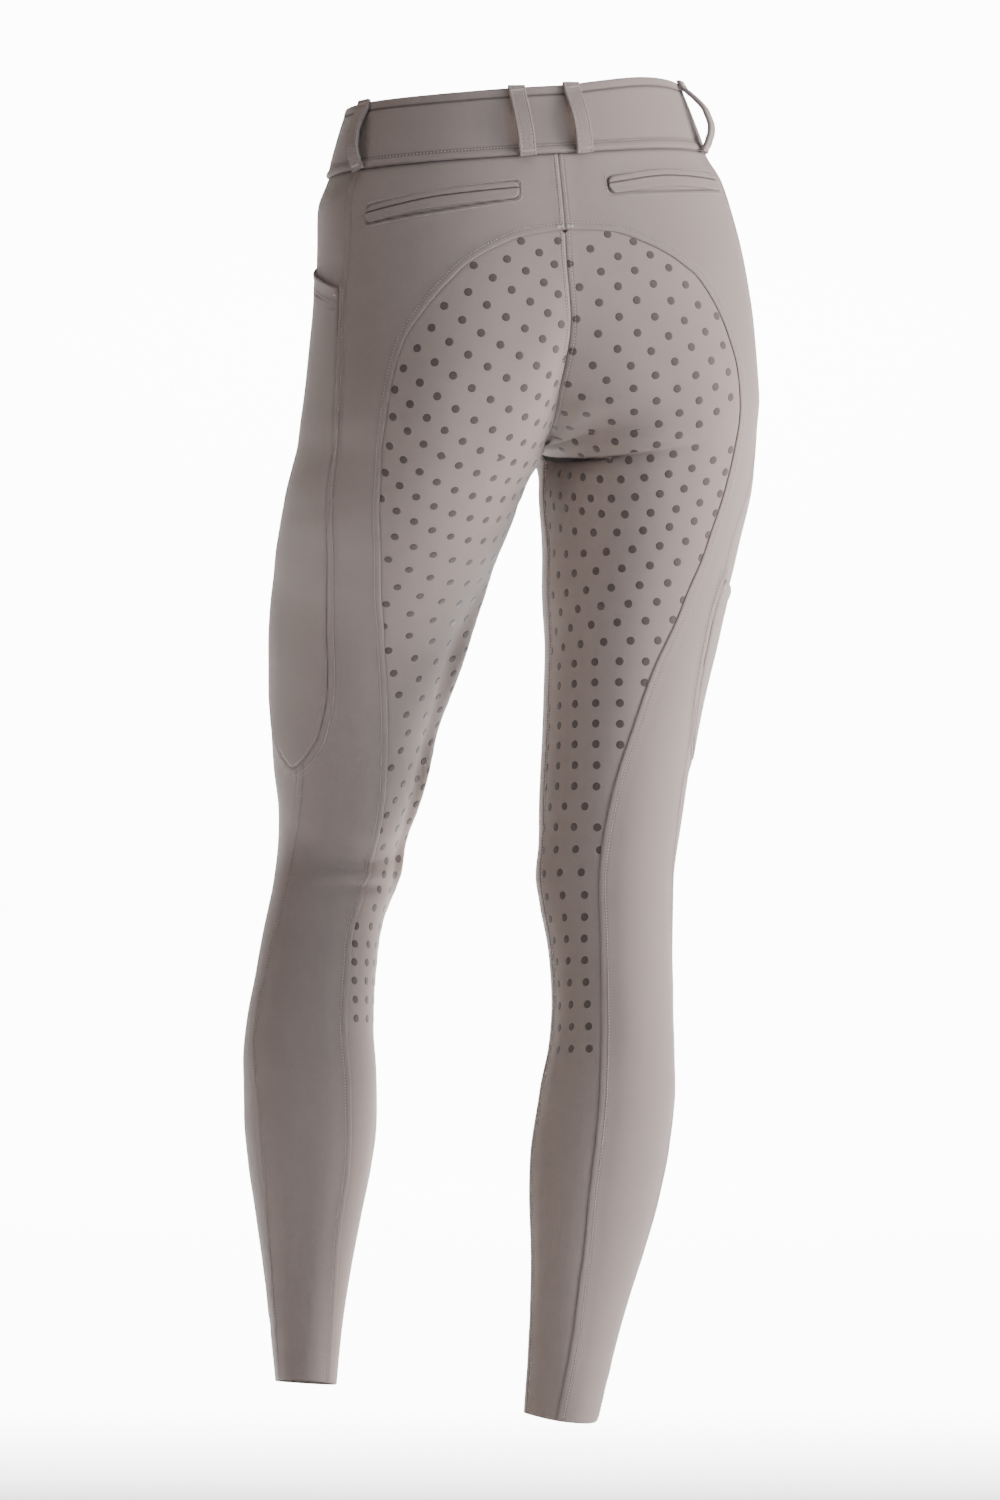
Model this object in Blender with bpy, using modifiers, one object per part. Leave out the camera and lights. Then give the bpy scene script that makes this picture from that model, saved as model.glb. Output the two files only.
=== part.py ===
"""Riding breeches, worn shape with nobody in them: every sewn piece is a thin closed wall.

The garment is one hollow form. A ring of cloth is worked out at each level below the
waist, the same for both legs, and a pose then bends hips and knees. A place on the cloth
is a level (millimetres below the waist, negative) and a turn: 0 at the centre back or
inseam, round the outer side of the leg, to 1 at the centre front or inseam.

The wearer faces -Y, and +X is the wearer's left. The origin is the centre of the waist
opening, at the waistband's top edge. Tables are in millimetres and degrees.
"""
import math
from collections import namedtuple

import bpy
import numpy as np

MM = 0.001

# ---- driving dimensions --------------------------------------------------------------
COLLECTION = "riding_breeches"
RISE = 256.0            # waist top edge to crotch
OUTSEAM = 979.0         # waist top edge to hem
BAND_HEIGHT = 49.7      # waistband
CLOTH = 1.2             # wall of one layer of cloth
BAND_LIFT = 1.2         # waistband's face outside the panels' face
BAND_WALL = 2.4         # waistband is doubled
BAND_LIP = 0.7          # how far its lower edge rolls out
LIP_HEIGHT = 9.0        # of the stretch that rolls
SEAM_GAP = 0.3          # between neighbouring pieces
PATCH_LIFT = 0.6        # under a piece that lies on a panel
SIDES = {"left": 1.0, "right": -1.0}

# ---- the rings of cloth ---------------------------------------------------------------
# fan is the half angle over which a ring's turns are spread; it opens smoothly past the crotch.
Section = namedtuple("Section", "level centre_x centre_y half_width back front back_round front_round fan")
SECTIONS = (
    Section(0, 0, 0, 126, 95, 93, 2.2, 2.2, 90),
    Section(-50, 0, 0, 141, 105, 100, 2.3, 2.2, 90),
    Section(-72, 4, 1, 147, 109, 102, 2.35, 2.2, 92),
    Section(-100, 12, 2, 143, 114, 104, 2.4, 2.2, 96),
    Section(-150, 34, 5, 127, 121, 104, 2.4, 2.2, 106),
    Section(-200, 58, 8, 107, 121, 100, 2.4, 2.2, 118),
    Section(-230, 73, 8, 93, 114, 97, 2.35, 2.2, 126),
    Section(-256, 82, 6, 82, 105, 95, 2.25, 2.2, 134),
    Section(-300, 87, 1, 78, 91, 91, 2.15, 2.1, 152),
    Section(-340, 87, -3, 71, 82, 87, 2.1, 2.1, 167),
    Section(-380, 85, -5, 65, 75, 82, 2.1, 2.1, 176),
    Section(-460, 79, -6, 56, 65, 71, 2.0, 2.1, 180),
    Section(-540, 75, -3, 50, 57, 62, 2.0, 2.1, 180),
    Section(-578, 75, 0, 47, 53, 58, 2.0, 2.1, 180),
    Section(-637, 79, 5, 45, 52, 49, 2.0, 2.1, 180),
    Section(-673, 81, 8, 45, 55, 47, 2.0, 2.1, 180),
    Section(-709, 82, 9, 47, 57, 46, 2.0, 2.1, 180),
    Section(-745, 81, 9, 50, 57, 45, 2.0, 2.1, 180),
    Section(-782, 79, 7, 50, 54, 44, 2.0, 2.1, 180),
    Section(-818, 76, 5, 47, 49, 42, 2.0, 2.1, 180),
    Section(-854, 73, 3, 41, 43, 40, 2.0, 2.1, 180),
    Section(-890, 71, 1, 35, 38, 37, 2.0, 2.1, 180),
    Section(-927, 70, 0, 30, 34, 35, 2.0, 2.1, 180),
    Section(-979, 69, 0, 25, 30, 31, 2.0, 2.1, 180),
)

MIDDLE_REACH = 0.25     # turns over which a ring meets the middle seams
RING_SAMPLES = 49       # steps in which a ring's or a seam's length is measured
SEAM_SAMPLES = 400

# What differs from leg to leg: how full the thigh is, how the pocket fills the outer
# front of the thigh, how the calf is turned to the side, and how far the hem dips behind.
Fullness = namedtuple("Fullness", "thigh pocket calf_turned hem_dip")
FULLNESS = {
    "left": Fullness(0.03, 10.0, 0.09, 1.0),
    "right": Fullness(0.0, 3.0, -0.01, 7.0),
}
POCKET_SIDE = 105.0     # degrees round from the back where the pocket fills most
POCKET_SPREAD = 42.0
# Distances below the waist over which each of them sets in, or sets in and ends.
CALF_SETS_IN = (700.0, 900.0)
THIGH_SETS_IN, THIGH_ENDS = (265.0, 320.0), (500.0, 560.0)
POCKET_SETS_IN, POCKET_ENDS = (110.0, 250.0), (520.0, 590.0)
HEM_SETS_IN = (900.0, OUTSEAM)

# Soft folds: a trough (depth over 0) or a ridge (under 0) along a line on the cloth.
Fold = namedtuple("Fold", "side level turn fall span width depth")
FOLDS = (
    Fold("right", -274, 0.09, 0, 0.10, 7, 3.6),
    Fold("right", -259, 0.09, 0, 0.12, 11, -1.6),
    Fold("left", -276, 0.08, 0, 0.09, 8, 1.8),
    Fold("left", -607, 0.22, 40, 0.09, 7, 2.4),
    Fold("left", -592, 0.22, 40, 0.12, 11, -1.4),
    Fold("left", -236, 0.88, -160, 0.10, 9, 2.2),
    Fold("left", -262, 0.86, -130, 0.12, 11, 2.0),
    Fold("right", -246, 0.89, -140, 0.09, 9, 1.5),
)

FOLD_START = 0.05       # turns from the middle seams over which the folds begin

# ---- the pose ------------------------------------------------------------------------
Leg = namedtuple("Leg", "flex spread knee shank")
LEGS = {
    "left": Leg(flex=20.0, spread=11.4, knee=26.0, shank=1.6),
    "right": Leg(flex=-4.0, spread=-9.0, knee=3.0, shank=0.8),
}
PELVIS_TILT = 4.0       # right side up
WEIGHT_SHIFT = 11.0     # legs carried over to the standing leg
HIP = (88.0, 0.0, -165.0)
KNEE = (75.0, 0.0, -578.0)
HIP_BEND = (190.0, 400.0)
KNEE_BEND = (540.0, 616.0)
SHIFT_BEND = (260.0, 420.0)
MIDDLE_BLEND = 25.0     # half width of cloth at the middle that follows both legs

# ---- the seams -----------------------------------------------------------------------
Seam = namedtuple("Seam", "level left right")
ARCH_LEVEL = -142.0     # where the seat seam turns from across to down
SEAT_SEAM = (
    Seam(-106, 0.000, 0.000), Seam(-107, 0.040, 0.036), Seam(-109, 0.088, 0.080),
    Seam(-118, 0.148, 0.135), Seam(-128, 0.186, 0.173), Seam(-142, 0.216, 0.208),
    Seam(-162, 0.250, 0.232), Seam(-180, 0.272, 0.244), Seam(-205, 0.283, 0.251),
    Seam(-230, 0.287, 0.255), Seam(-256, 0.290, 0.264), Seam(-285, 0.290, 0.277),
    Seam(-320, 0.284, 0.290), Seam(-345, 0.276, 0.292), Seam(-385, 0.257, 0.282),
    Seam(-430, 0.241, 0.256), Seam(-475, 0.221, 0.235), Seam(-525, 0.203, 0.209),
    Seam(-570, 0.193, 0.191), Seam(-610, 0.201, 0.184), Seam(-655, 0.220, 0.183),
    Seam(-705, 0.219, 0.187), Seam(-760, 0.202, 0.196), Seam(-820, 0.190, 0.203),
    Seam(-870, 0.199, 0.213), Seam(-915, 0.186, 0.210), Seam(-979, 0.165, 0.170),
)
SIDE_SEAM = (
    Seam(-50, 0.412, 0.395), Seam(-110, 0.404, 0.395), Seam(-150, 0.408, 0.395),
    Seam(-230, 0.401, 0.390), Seam(-285, 0.394, 0.374), Seam(-333, 0.393, 0.368),
    Seam(-363, 0.394, 0.374), Seam(-450, 0.398, 0.395), Seam(-530, 0.407, 0.407),
    Seam(-580, 0.421, 0.421), Seam(-625, 0.438, 0.438), Seam(-665, 0.460, 0.460),
    Seam(-705, 0.472, 0.472), Seam(-745, 0.462, 0.462), Seam(-785, 0.438, 0.438),
    Seam(-825, 0.442, 0.442), Seam(-865, 0.462, 0.462), Seam(-920, 0.470, 0.470),
    Seam(-979, 0.472, 0.472),
)

# ---- what lies on the panels ---------------------------------------------------------
PocketRow = namedtuple("PocketRow", "back_level back_turn front_level front_turn")
THIGH_POCKETS = {
    "left": (
        PocketRow(-135, 0.416, -113, 0.600), PocketRow(-200, 0.404, -190, 0.610),
        PocketRow(-270, 0.396, -265, 0.610), PocketRow(-303, 0.384, -300, 0.610),
        PocketRow(-364, 0.360, -364, 0.602), PocketRow(-407, 0.350, -407, 0.588),
        PocketRow(-438, 0.347, -436, 0.572), PocketRow(-472, 0.356, -464, 0.548),
        PocketRow(-492, 0.380, -482, 0.520), PocketRow(-503, 0.404, -494, 0.492),
        PocketRow(-508, 0.424, -503, 0.458),
    ),
    "right": (
        PocketRow(-361, 0.368, -378, 0.595), PocketRow(-390, 0.364, -400, 0.590),
        PocketRow(-410, 0.366, -415, 0.583), PocketRow(-432, 0.375, -434, 0.570),
        PocketRow(-455, 0.386, -455, 0.552), PocketRow(-474, 0.402, -472, 0.530),
        PocketRow(-487, 0.432, -484, 0.505), PocketRow(-493, 0.455, -490, 0.482),
    ),
}
POCKET_COLUMNS = 12
POCKET_ROW_SPACING = 15.0

Welt = namedtuple("Welt", "inner_turn outer_turn inner_level middle_level outer_level")
BACK_WELTS = {
    "left": Welt(0.095, 0.362, -69.0, -71.5, -79.0),
    "right": Welt(0.095, 0.356, -70.0, -65.5, -68.0),
}
WELT_COLUMNS = 9
WELT_HEIGHT = 13.0
WELT_UPPER = 4.6        # height of the upper lip
WELT_WALL = 1.0

Loop = namedtuple("Loop", "name side top_turn bottom_turn")
BELT_LOOPS = (
    Loop("belt_loop_back_left", "left", 0.080, 0.067),
    Loop("belt_loop_back_right", "right", 0.050, 0.065),
    Loop("belt_loop_side_left", "left", 0.443, 0.400),
    Loop("belt_loop_side_right", "right", 0.408, 0.378),
    Loop("belt_loop_front_left", "left", 0.850, 0.850),
    Loop("belt_loop_front_right", "right", 0.850, 0.850),
)
LOOP_WIDTH = 12.0
LOOP_WALL = 2.2
LoopRow = namedtuple("LoopRow", "level stand_off")
LOOP_PROFILE = (
    LoopRow(-1.0, 0.9), LoopRow(-4.5, 3.4), LoopRow(-10.0, 6.6), LoopRow(-17.0, 8.4),
    LoopRow(-26.0, 8.8), LoopRow(-35.0, 7.8), LoopRow(-42.0, 5.2), LoopRow(-46.0, 2.6),
    LoopRow(-49.2, 0.9),
)

BUTTON_SIDES = 24
BUTTON_TURN = 0.955
BUTTON_LEVEL = -24.0
BUTTON_DIAMETER = 15.0
BUTTON_HEIGHT = 2.6
BUTTON_EDGE = 0.7
BUTTON_CLEAR = 0.9      # between the button's back and the waistband

# ---- how finely the walls are divided ------------------------------------------------
YOKE_ROWS = 5
ARCH_COLUMNS = 7
SEAT_ROWS = 9
BACK_COLUMNS = 5
FRONT_COLUMNS = 11
BAND_LEVELS = (0.0, -7.0, -25.0, -43.0, -BAND_HEIGHT)
BAND_BACK_COLUMNS = 8
BAND_FRONT_COLUMNS = 12
Stretch = namedtuple("Stretch", "top bottom rows")
LEG_STRETCHES = (
    Stretch(-RISE, -292.0, 4), Stretch(-292.0, -560.0, 14),
    Stretch(-560.0, -650.0, 7), Stretch(-650.0, -OUTSEAM, 17),
)

# ---- looks ---------------------------------------------------------------------------
CLOTH_COLOUR = (0.262, 0.222, 0.190, 1.0)
SEAT_COLOUR = (0.250, 0.208, 0.172, 1.0)
TRIM_COLOUR = (0.230, 0.196, 0.168, 1.0)
BUTTON_COLOUR = (0.120, 0.100, 0.085, 1.0)

# ---- fine measures --------------------------------------------------------------------
DERIVATIVE_STEP = 0.4   # millimetres of level
DERIVATIVE_TURN = 0.0008
NEAR_CROTCH = 1.0       # levels this near the crotch take their slope from below it
NEAR_MIDDLE = 0.002     # turns this near a middle seam share their way out
SAME_POINT = 2          # decimals of a millimetre to which two corners are one


# ---- small tools ---------------------------------------------------------------------
def column(table, name):
    """One named column of a table, as an array."""
    return np.array([getattr(row, name) for row in table], float)


def follow(knots, values, at):
    """A smooth curve through a table that never swings past its values."""
    step = np.diff(knots)
    rise = np.diff(values) / step
    slopes = np.concatenate([rise[:1], np.zeros(len(knots) - 2), rise[-1:]])
    same_way = rise[:-1] * rise[1:] > 0
    total = np.where(same_way, rise[:-1] + rise[1:], 1.0)
    slopes[1:-1] = np.where(same_way, 2 * rise[:-1] * rise[1:] / total, 0.0)
    at = np.asarray(at, float)
    index = np.clip(np.searchsorted(knots, at) - 1, 0, len(step) - 1)
    part = (at - knots[index]) / step[index]
    start, end = values[index], values[index + 1]
    start_slope, end_slope = slopes[index] * step[index], slopes[index + 1] * step[index]
    cubed, squared = part ** 3, part ** 2
    return ((2 * cubed - 3 * squared + 1) * start + (cubed - 2 * squared + part) * start_slope
            + (3 * squared - 2 * cubed) * end + (cubed - squared) * end_slope)


def by_level(table, name, level):
    """A table's column at any level; its rows go down from the waist."""
    return follow(-column(table, "level"), column(table, name), -np.asarray(level, float))


def ease(start, end, value):
    """0 at start, 1 at end, smooth between."""
    part = np.clip((value - start) / (end - start), 0, 1)
    return part * part * (3 - 2 * part)


def unit(vectors):
    """Vectors at length 1."""
    return vectors / np.linalg.norm(vectors, axis=-1, keepdims=True)


def turn_about(points, axis, degrees, centre):
    """Points turned about a line through centre along X or Y; degrees may be an array."""
    angle = np.radians(degrees)
    cosine, sine = np.cos(angle), np.sin(angle)
    x, y, z = np.moveaxis(points - centre, -1, 0)
    if axis == "X":
        moved = (x, y * cosine - z * sine, y * sine + z * cosine)
    else:
        moved = (x * cosine + z * sine, y, z * cosine - x * sine)
    return np.stack(moved, -1) + centre


# ---- the form of the cloth -----------------------------------------------------------
def middle_angles(level):
    """Where a ring meets the garment's middle, behind and in front, as angles."""
    centre, half = by_level(SECTIONS, "centre_x", level), by_level(SECTIONS, "half_width", level)
    ratio = np.clip(centre / half, 0, 1)
    angles = []
    for name, sign in (("back", 1.0), ("front", -1.0)):
        power = by_level(SECTIONS, name + "_round", level)
        reach = by_level(SECTIONS, name, level) * (1 - ratio ** power) ** (1 / power)
        angle = np.arctan2(reach, -centre)
        angles.append(sign * np.where(level <= -RISE, math.pi, angle))
    return angles


def fold_depth(side, level, turn):
    """How far the folds push the cloth in at a place."""
    depth = np.zeros(np.broadcast(level, turn).shape)
    for fold in FOLDS:
        if fold.side == side:
            line = fold.level - fold.fall * (turn - fold.turn)
            across = (level - line) / fold.width
            along = (turn - fold.turn) / fold.span
            depth = depth + fold.depth * np.exp(-across ** 2 - along ** 2)
    from_middle = np.minimum(np.abs(turn), np.abs(1 - turn))
    return depth * ease(0.0, FOLD_START, from_middle)


def ring_point(side, level, turn, apart):
    """Where the cloth is before the pose, on the side of +X."""
    full = FULLNESS[side]
    calf = full.calf_turned * ease(*CALF_SETS_IN, -level)
    half = by_level(SECTIONS, "half_width", level) * (1 - calf)
    angle_back, angle_front = middle_angles(level)
    fan = np.radians(by_level(SECTIONS, "fan", level))
    at_back = 1 - ease(0, MIDDLE_REACH, turn)
    at_front = 1 - ease(0, MIDDLE_REACH, 1 - turn)
    angle = fan * (1 - 2 * turn) + (angle_back - fan) * at_back + (angle_front + fan) * at_front
    cosine, sine = np.cos(angle), np.sin(angle)
    behind = sine > 0
    depth = np.where(behind, by_level(SECTIONS, "back", level), by_level(SECTIONS, "front", level))
    power = np.where(behind, by_level(SECTIONS, "back_round", level), by_level(SECTIONS, "front_round", level))
    depth = depth * (1 + calf)
    radius = (np.abs(cosine / half) ** power + np.abs(sine / depth) ** power) ** (-1 / power)
    thigh = ease(*THIGH_SETS_IN, -level) * (1 - ease(*THIGH_ENDS, -level))
    pocket = ease(*POCKET_SETS_IN, -level) * (1 - ease(*POCKET_ENDS, -level))
    from_back = 90 - np.degrees(angle)
    radius = radius * (1 + full.thigh * thigh)
    radius = radius + full.pocket * pocket * np.exp(-((from_back - POCKET_SIDE) / POCKET_SPREAD) ** 2)
    radius = radius - fold_depth(side, level, turn)
    x = by_level(SECTIONS, "centre_x", level) + radius * cosine + apart * SEAM_GAP / 2
    y = by_level(SECTIONS, "centre_y", level) + radius * sine
    z = level - full.hem_dip * ease(*HEM_SETS_IN, -level) * ((1 + sine) / 2) ** 2
    return np.stack([x, y, z], -1)


def posed(points):
    """The standing pose: weight on the right leg, the left hip and knee bent."""
    points = points - np.array([1.0, 0, 0]) * (WEIGHT_SHIFT * ease(*SHIFT_BEND, -points[..., 2]))[..., None]
    down = -points[..., 2]
    to_left = ease(-MIDDLE_BLEND, MIDDLE_BLEND, points[..., 0])
    result = 0.0
    for side, sign in SIDES.items():
        leg = LEGS[side]
        mirror = np.array([sign, 1.0, 1.0])
        hip, knee = np.array(HIP) * mirror, np.array(KNEE) * mirror
        bent, carried = ease(*KNEE_BEND, down), ease(*HIP_BEND, down)
        moved = turn_about(points, "X", bent * leg.knee, knee)
        moved = turn_about(moved, "Y", sign * bent * leg.shank, knee)
        moved = turn_about(moved, "X", -carried * leg.flex, hip)
        moved = turn_about(moved, "Y", -sign * carried * leg.spread, hip)
        share = to_left if sign > 0 else 1 - to_left
        result = result + moved * share[..., None]
    return turn_about(result, "Y", PELVIS_TILT, np.zeros(3))


def cloth_point(side, level, turn, apart=1.0):
    """Where the cloth's outer face is, in millimetres."""
    level, turn = np.broadcast_arrays(np.asarray(level, float), np.asarray(turn, float))
    return posed(ring_point(side, level, turn, apart) * np.array([SIDES[side], 1.0, 1.0]))


def side_normal(side, level, turn, apart):
    """The way out of the cloth, from two small steps on it."""
    at_crotch = np.abs(level + RISE) < NEAR_CROTCH
    upper = np.where(at_crotch, level, level + DERIVATIVE_STEP)
    down = cloth_point(side, upper, turn, apart) - cloth_point(side, level - DERIVATIVE_STEP, turn, apart)
    around = (cloth_point(side, level, turn + DERIVATIVE_TURN, apart)
              - cloth_point(side, level, turn - DERIVATIVE_TURN, apart))
    return unit(np.cross(around, down) * -SIDES[side])


def cloth_normal(side, level, turn, apart=1.0):
    """The way out of the cloth; both halves share it along the middle seams."""
    level, turn = np.broadcast_arrays(np.asarray(level, float), np.asarray(turn, float))
    other = "right" if side == "left" else "left"
    own = side_normal(side, level, turn, apart)
    from_middle = np.minimum(turn, 1 - turn)
    middle = (level >= -RISE - NEAR_CROTCH / 2) & (from_middle < NEAR_MIDDLE)
    shared = unit(own + side_normal(other, level, turn, apart))
    return np.where(middle[..., None], shared, own)


def ring_length(side, level):
    """Length of the cloth from turn 0 to turn 1 at each level."""
    turns = np.linspace(0, 1, RING_SAMPLES)
    ring = ring_point(side, np.atleast_1d(level)[:, None], turns[None, :], 0.0)
    return np.linalg.norm(np.diff(ring, axis=1), axis=2).sum(axis=1)


# ---- where the pieces meet -----------------------------------------------------------
def beside(side, level, turn, shift):
    """A seam line moved sideways by shift millimetres, over 0 towards higher turns."""
    length = ring_length(side, level)
    across = np.gradient(turn) * length
    down = np.gradient(level)
    step = np.hypot(across, down)
    return level + shift * across / step, turn - shift * down / step / length


def leg_levels():
    """Levels of the rows from crotch to hem, finer where the cloth bends."""
    stretches = [np.linspace(part.top, part.bottom, part.rows, endpoint=False) for part in LEG_STRETCHES]
    return np.concatenate(stretches + [np.array([-OUTSEAM])])


def middle_levels(start, count, name):
    """Levels down the centre seam to the crotch, evenly spaced along its curve."""
    fine = np.linspace(start, -RISE, SEAM_SAMPLES)
    turn = 0.0 if name == "back" else 1.0
    line = ring_point("left", fine, np.full(fine.shape, turn), 0.0)
    travelled = np.concatenate([[0.0], np.cumsum(np.linalg.norm(np.diff(line, axis=0), axis=1))])
    return np.interp(np.linspace(0, travelled[-1], count + 1), travelled, fine)


def seat_arch(side):
    """The seat seam's upper stretch, from the centre back across to where it turns down."""
    rows = [row for row in SEAT_SEAM if row.level >= ARCH_LEVEL]
    level, turn = column(rows, "level"), column(rows, side)
    length = ring_length(side, level).mean()
    travelled = np.concatenate([[0.0], np.cumsum(np.hypot(np.diff(level), np.diff(turn) * length))])
    at = np.linspace(0, travelled[-1], ARCH_COLUMNS + 1)
    return follow(travelled, level, at), follow(travelled, turn, at)


def seat_line(side):
    """The seat seam's long stretch, from the arch down to the hem."""
    upper = np.linspace(ARCH_LEVEL, -RISE, SEAT_ROWS, endpoint=False)
    level = np.concatenate([upper, leg_levels()])
    return level, by_level(SEAT_SEAM, side, level)


def side_line(side):
    """The side seam from the waistband down to the hem."""
    yoke = np.linspace(-BAND_HEIGHT - SEAM_GAP, ARCH_LEVEL, YOKE_ROWS, endpoint=False)
    seat = np.linspace(ARCH_LEVEL, -RISE, SEAT_ROWS, endpoint=False)
    level = np.concatenate([yoke, seat, leg_levels()])
    return level, by_level(SIDE_SEAM, side, level)


def middle_edge(side, level, at_front):
    """The centre seam and inseam, half a seam gap in from the middle."""
    inset = SEAM_GAP / 2 / ring_length(side, level)
    return 1 - inset if at_front else inset


# ---- patches of cloth, each a grid of levels and turns -------------------------------
def between(first, second, columns):
    """A grid of straight rows from one edge line to another."""
    share = np.linspace(0, 1, columns + 1)[None, :]
    level = first[0][:, None] * (1 - share) + second[0][:, None] * share
    turn = first[1][:, None] * (1 - share) + second[1][:, None] * share
    return level, turn


def filled(top, bottom, left, right):
    """A grid that blends four edge lines, each a pair of arrays."""
    across = np.linspace(0, 1, len(top[0]))[None, :]
    down = np.linspace(0, 1, len(left[0]))[:, None]
    grids = []
    for t, b, l, r in zip(top, bottom, left, right):
        grid = (1 - down) * t[None, :] + down * b[None, :]
        grid = grid + (1 - across) * l[:, None] + across * r[:, None]
        corners = ((1 - down) * (1 - across) * t[0] + (1 - down) * across * t[-1]
                   + down * (1 - across) * b[0] + down * across * b[-1])
        grids.append(grid - corners)
    return tuple(grids)


def seat_patches(side):
    """The seat panel: a rounded top between arch and crotch, then the leg."""
    arch = beside_arch(side, inside=True)
    line = beside_line(side, inside=True)
    centre_level = middle_levels(SEAT_SEAM[0].level - SEAM_GAP / 2, SEAT_ROWS, "back")
    centre = (centre_level, middle_edge(side, centre_level, False))
    low = (leg_levels(), middle_edge(side, leg_levels(), False))
    leg_line = tuple(values[SEAT_ROWS:] for values in line)
    leg = between(low, leg_line, ARCH_COLUMNS)
    bottom = tuple(values[0] for values in leg)
    top = tuple(np.append(values[:-1], corner[0]) for values, corner in zip(arch, line))
    top = (np.concatenate([centre_level[:1], top[0][1:]]), np.concatenate([centre[1][:1], top[1][1:]]))
    right = tuple(values[:SEAT_ROWS + 1] for values in line)
    return [filled(top, bottom, centre, right), leg]


def beside_arch(side, inside):
    """The arch moved half a seam gap off the seam, joined smoothly to the long stretch."""
    level, turn, corner = whole_seat_seam(side)
    shift = -SEAM_GAP / 2 if inside else SEAM_GAP / 2
    level, turn = beside(side, level, turn, shift)
    return level[:corner + 1], turn[:corner + 1]


def beside_line(side, inside):
    """The seat seam's long stretch moved half a seam gap off the seam."""
    level, turn, corner = whole_seat_seam(side)
    shift = -SEAM_GAP / 2 if inside else SEAM_GAP / 2
    level, turn = beside(side, level, turn, shift)
    return level[corner:], turn[corner:]


def whole_seat_seam(side):
    """All of the seat seam, and the index of the point where arch and line meet."""
    arch, line = seat_arch(side), seat_line(side)
    level = np.concatenate([arch[0][:-1], line[0]])
    turn = np.concatenate([arch[1][:-1], line[1]])
    return level, turn, ARCH_COLUMNS


def outer_back_patches(side):
    """The outer back panel: a yoke over the arch, then a strip down to the hem."""
    arch = beside_arch(side, inside=False)
    line = beside_line(side, inside=False)
    side_level, side_turn = beside(side, *side_line(side), -SEAM_GAP / 2)
    top_level = side_level[0]
    corner_turn = arch[1][-1]
    yoke_levels = np.linspace(top_level, arch[0][-1], YOKE_ROWS + 1)
    top = (np.full(ARCH_COLUMNS + 1, top_level), np.linspace(0, corner_turn, ARCH_COLUMNS + 1))
    centre_level = np.linspace(top_level, arch[0][0], YOKE_ROWS + 1)
    centre = (centre_level, middle_edge(side, centre_level, False))
    top[1][0] = centre[1][0]
    arch_turn = np.concatenate([centre[1][-1:], arch[1][1:]])
    right = (yoke_levels, np.full(YOKE_ROWS + 1, corner_turn))
    yoke = filled(top, (arch[0], arch_turn), centre, right)
    inner = (np.concatenate([yoke_levels[:-1], line[0]]),
             np.concatenate([np.full(YOKE_ROWS, corner_turn), line[1]]))
    return [yoke, between(inner, (side_level, side_turn), BACK_COLUMNS)]


def front_patches(side):
    """The front panel, from the side seam round to the centre front and inseam."""
    side_level, side_turn = beside(side, *side_line(side), SEAM_GAP / 2)
    upper = middle_levels(side_level[0], YOKE_ROWS + SEAT_ROWS, "front")
    level = np.concatenate([upper[:-1], leg_levels()])
    return [between((side_level, side_turn), (level, middle_edge(side, level, True)), FRONT_COLUMNS)]


def thigh_pocket_patches(side):
    """The thigh pocket, laid over the side seam."""
    rows = THIGH_POCKETS[side]
    middle = (column(rows, "back_level") + column(rows, "front_level")) / 2
    count = int(round((middle[0] - middle[-1]) / POCKET_ROW_SPACING))
    evenly = np.linspace(middle[0], middle[-1], count + 1)[1:-1]
    mouth_and_tip = middle[[0, -3, -2, -1]]
    at = np.unique(-np.concatenate([evenly, mouth_and_tip]))
    edges = {name: follow(-middle, column(rows, name), at) for name in PocketRow._fields}
    back = (edges["back_level"], edges["back_turn"])
    front = (edges["front_level"], edges["front_turn"])
    return [between(back, front, POCKET_COLUMNS)]


def welt_patches(side, upper):
    """One lip of a back welt pocket; the upper lip is the narrower one."""
    welt = BACK_WELTS[side]
    turn = np.linspace(welt.inner_turn, welt.outer_turn, WELT_COLUMNS + 1)
    knots = np.array([welt.inner_turn, (welt.inner_turn + welt.outer_turn) / 2, welt.outer_turn])
    top = follow(knots, np.array([welt.inner_level, welt.middle_level, welt.outer_level]), turn)
    slit = top - WELT_UPPER
    first = top if upper else slit - SEAM_GAP
    last = slit if upper else top - WELT_HEIGHT
    level, turns = np.stack([first, last]), np.stack([turn, turn])
    return [(level, turns)]


# ---- solids --------------------------------------------------------------------------
def material(name, colour, roughness):
    """A plain surface for one object."""
    finish = bpy.data.materials.new(name)
    finish.use_nodes = True
    shader = finish.node_tree.nodes["Principled BSDF"]
    shader.inputs["Base Color"].default_value = colour
    shader.inputs["Roughness"].default_value = roughness
    shader.inputs["Metallic"].default_value = 0.0
    return finish


def add_object(name, mesh, collection, colour, roughness=0.8):
    """A named object with its own material, in the garment's collection."""
    thing = bpy.data.objects.new(name, mesh)
    mesh.materials.append(material(name + "_finish", colour, roughness))
    collection.objects.link(thing)
    return thing


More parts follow.
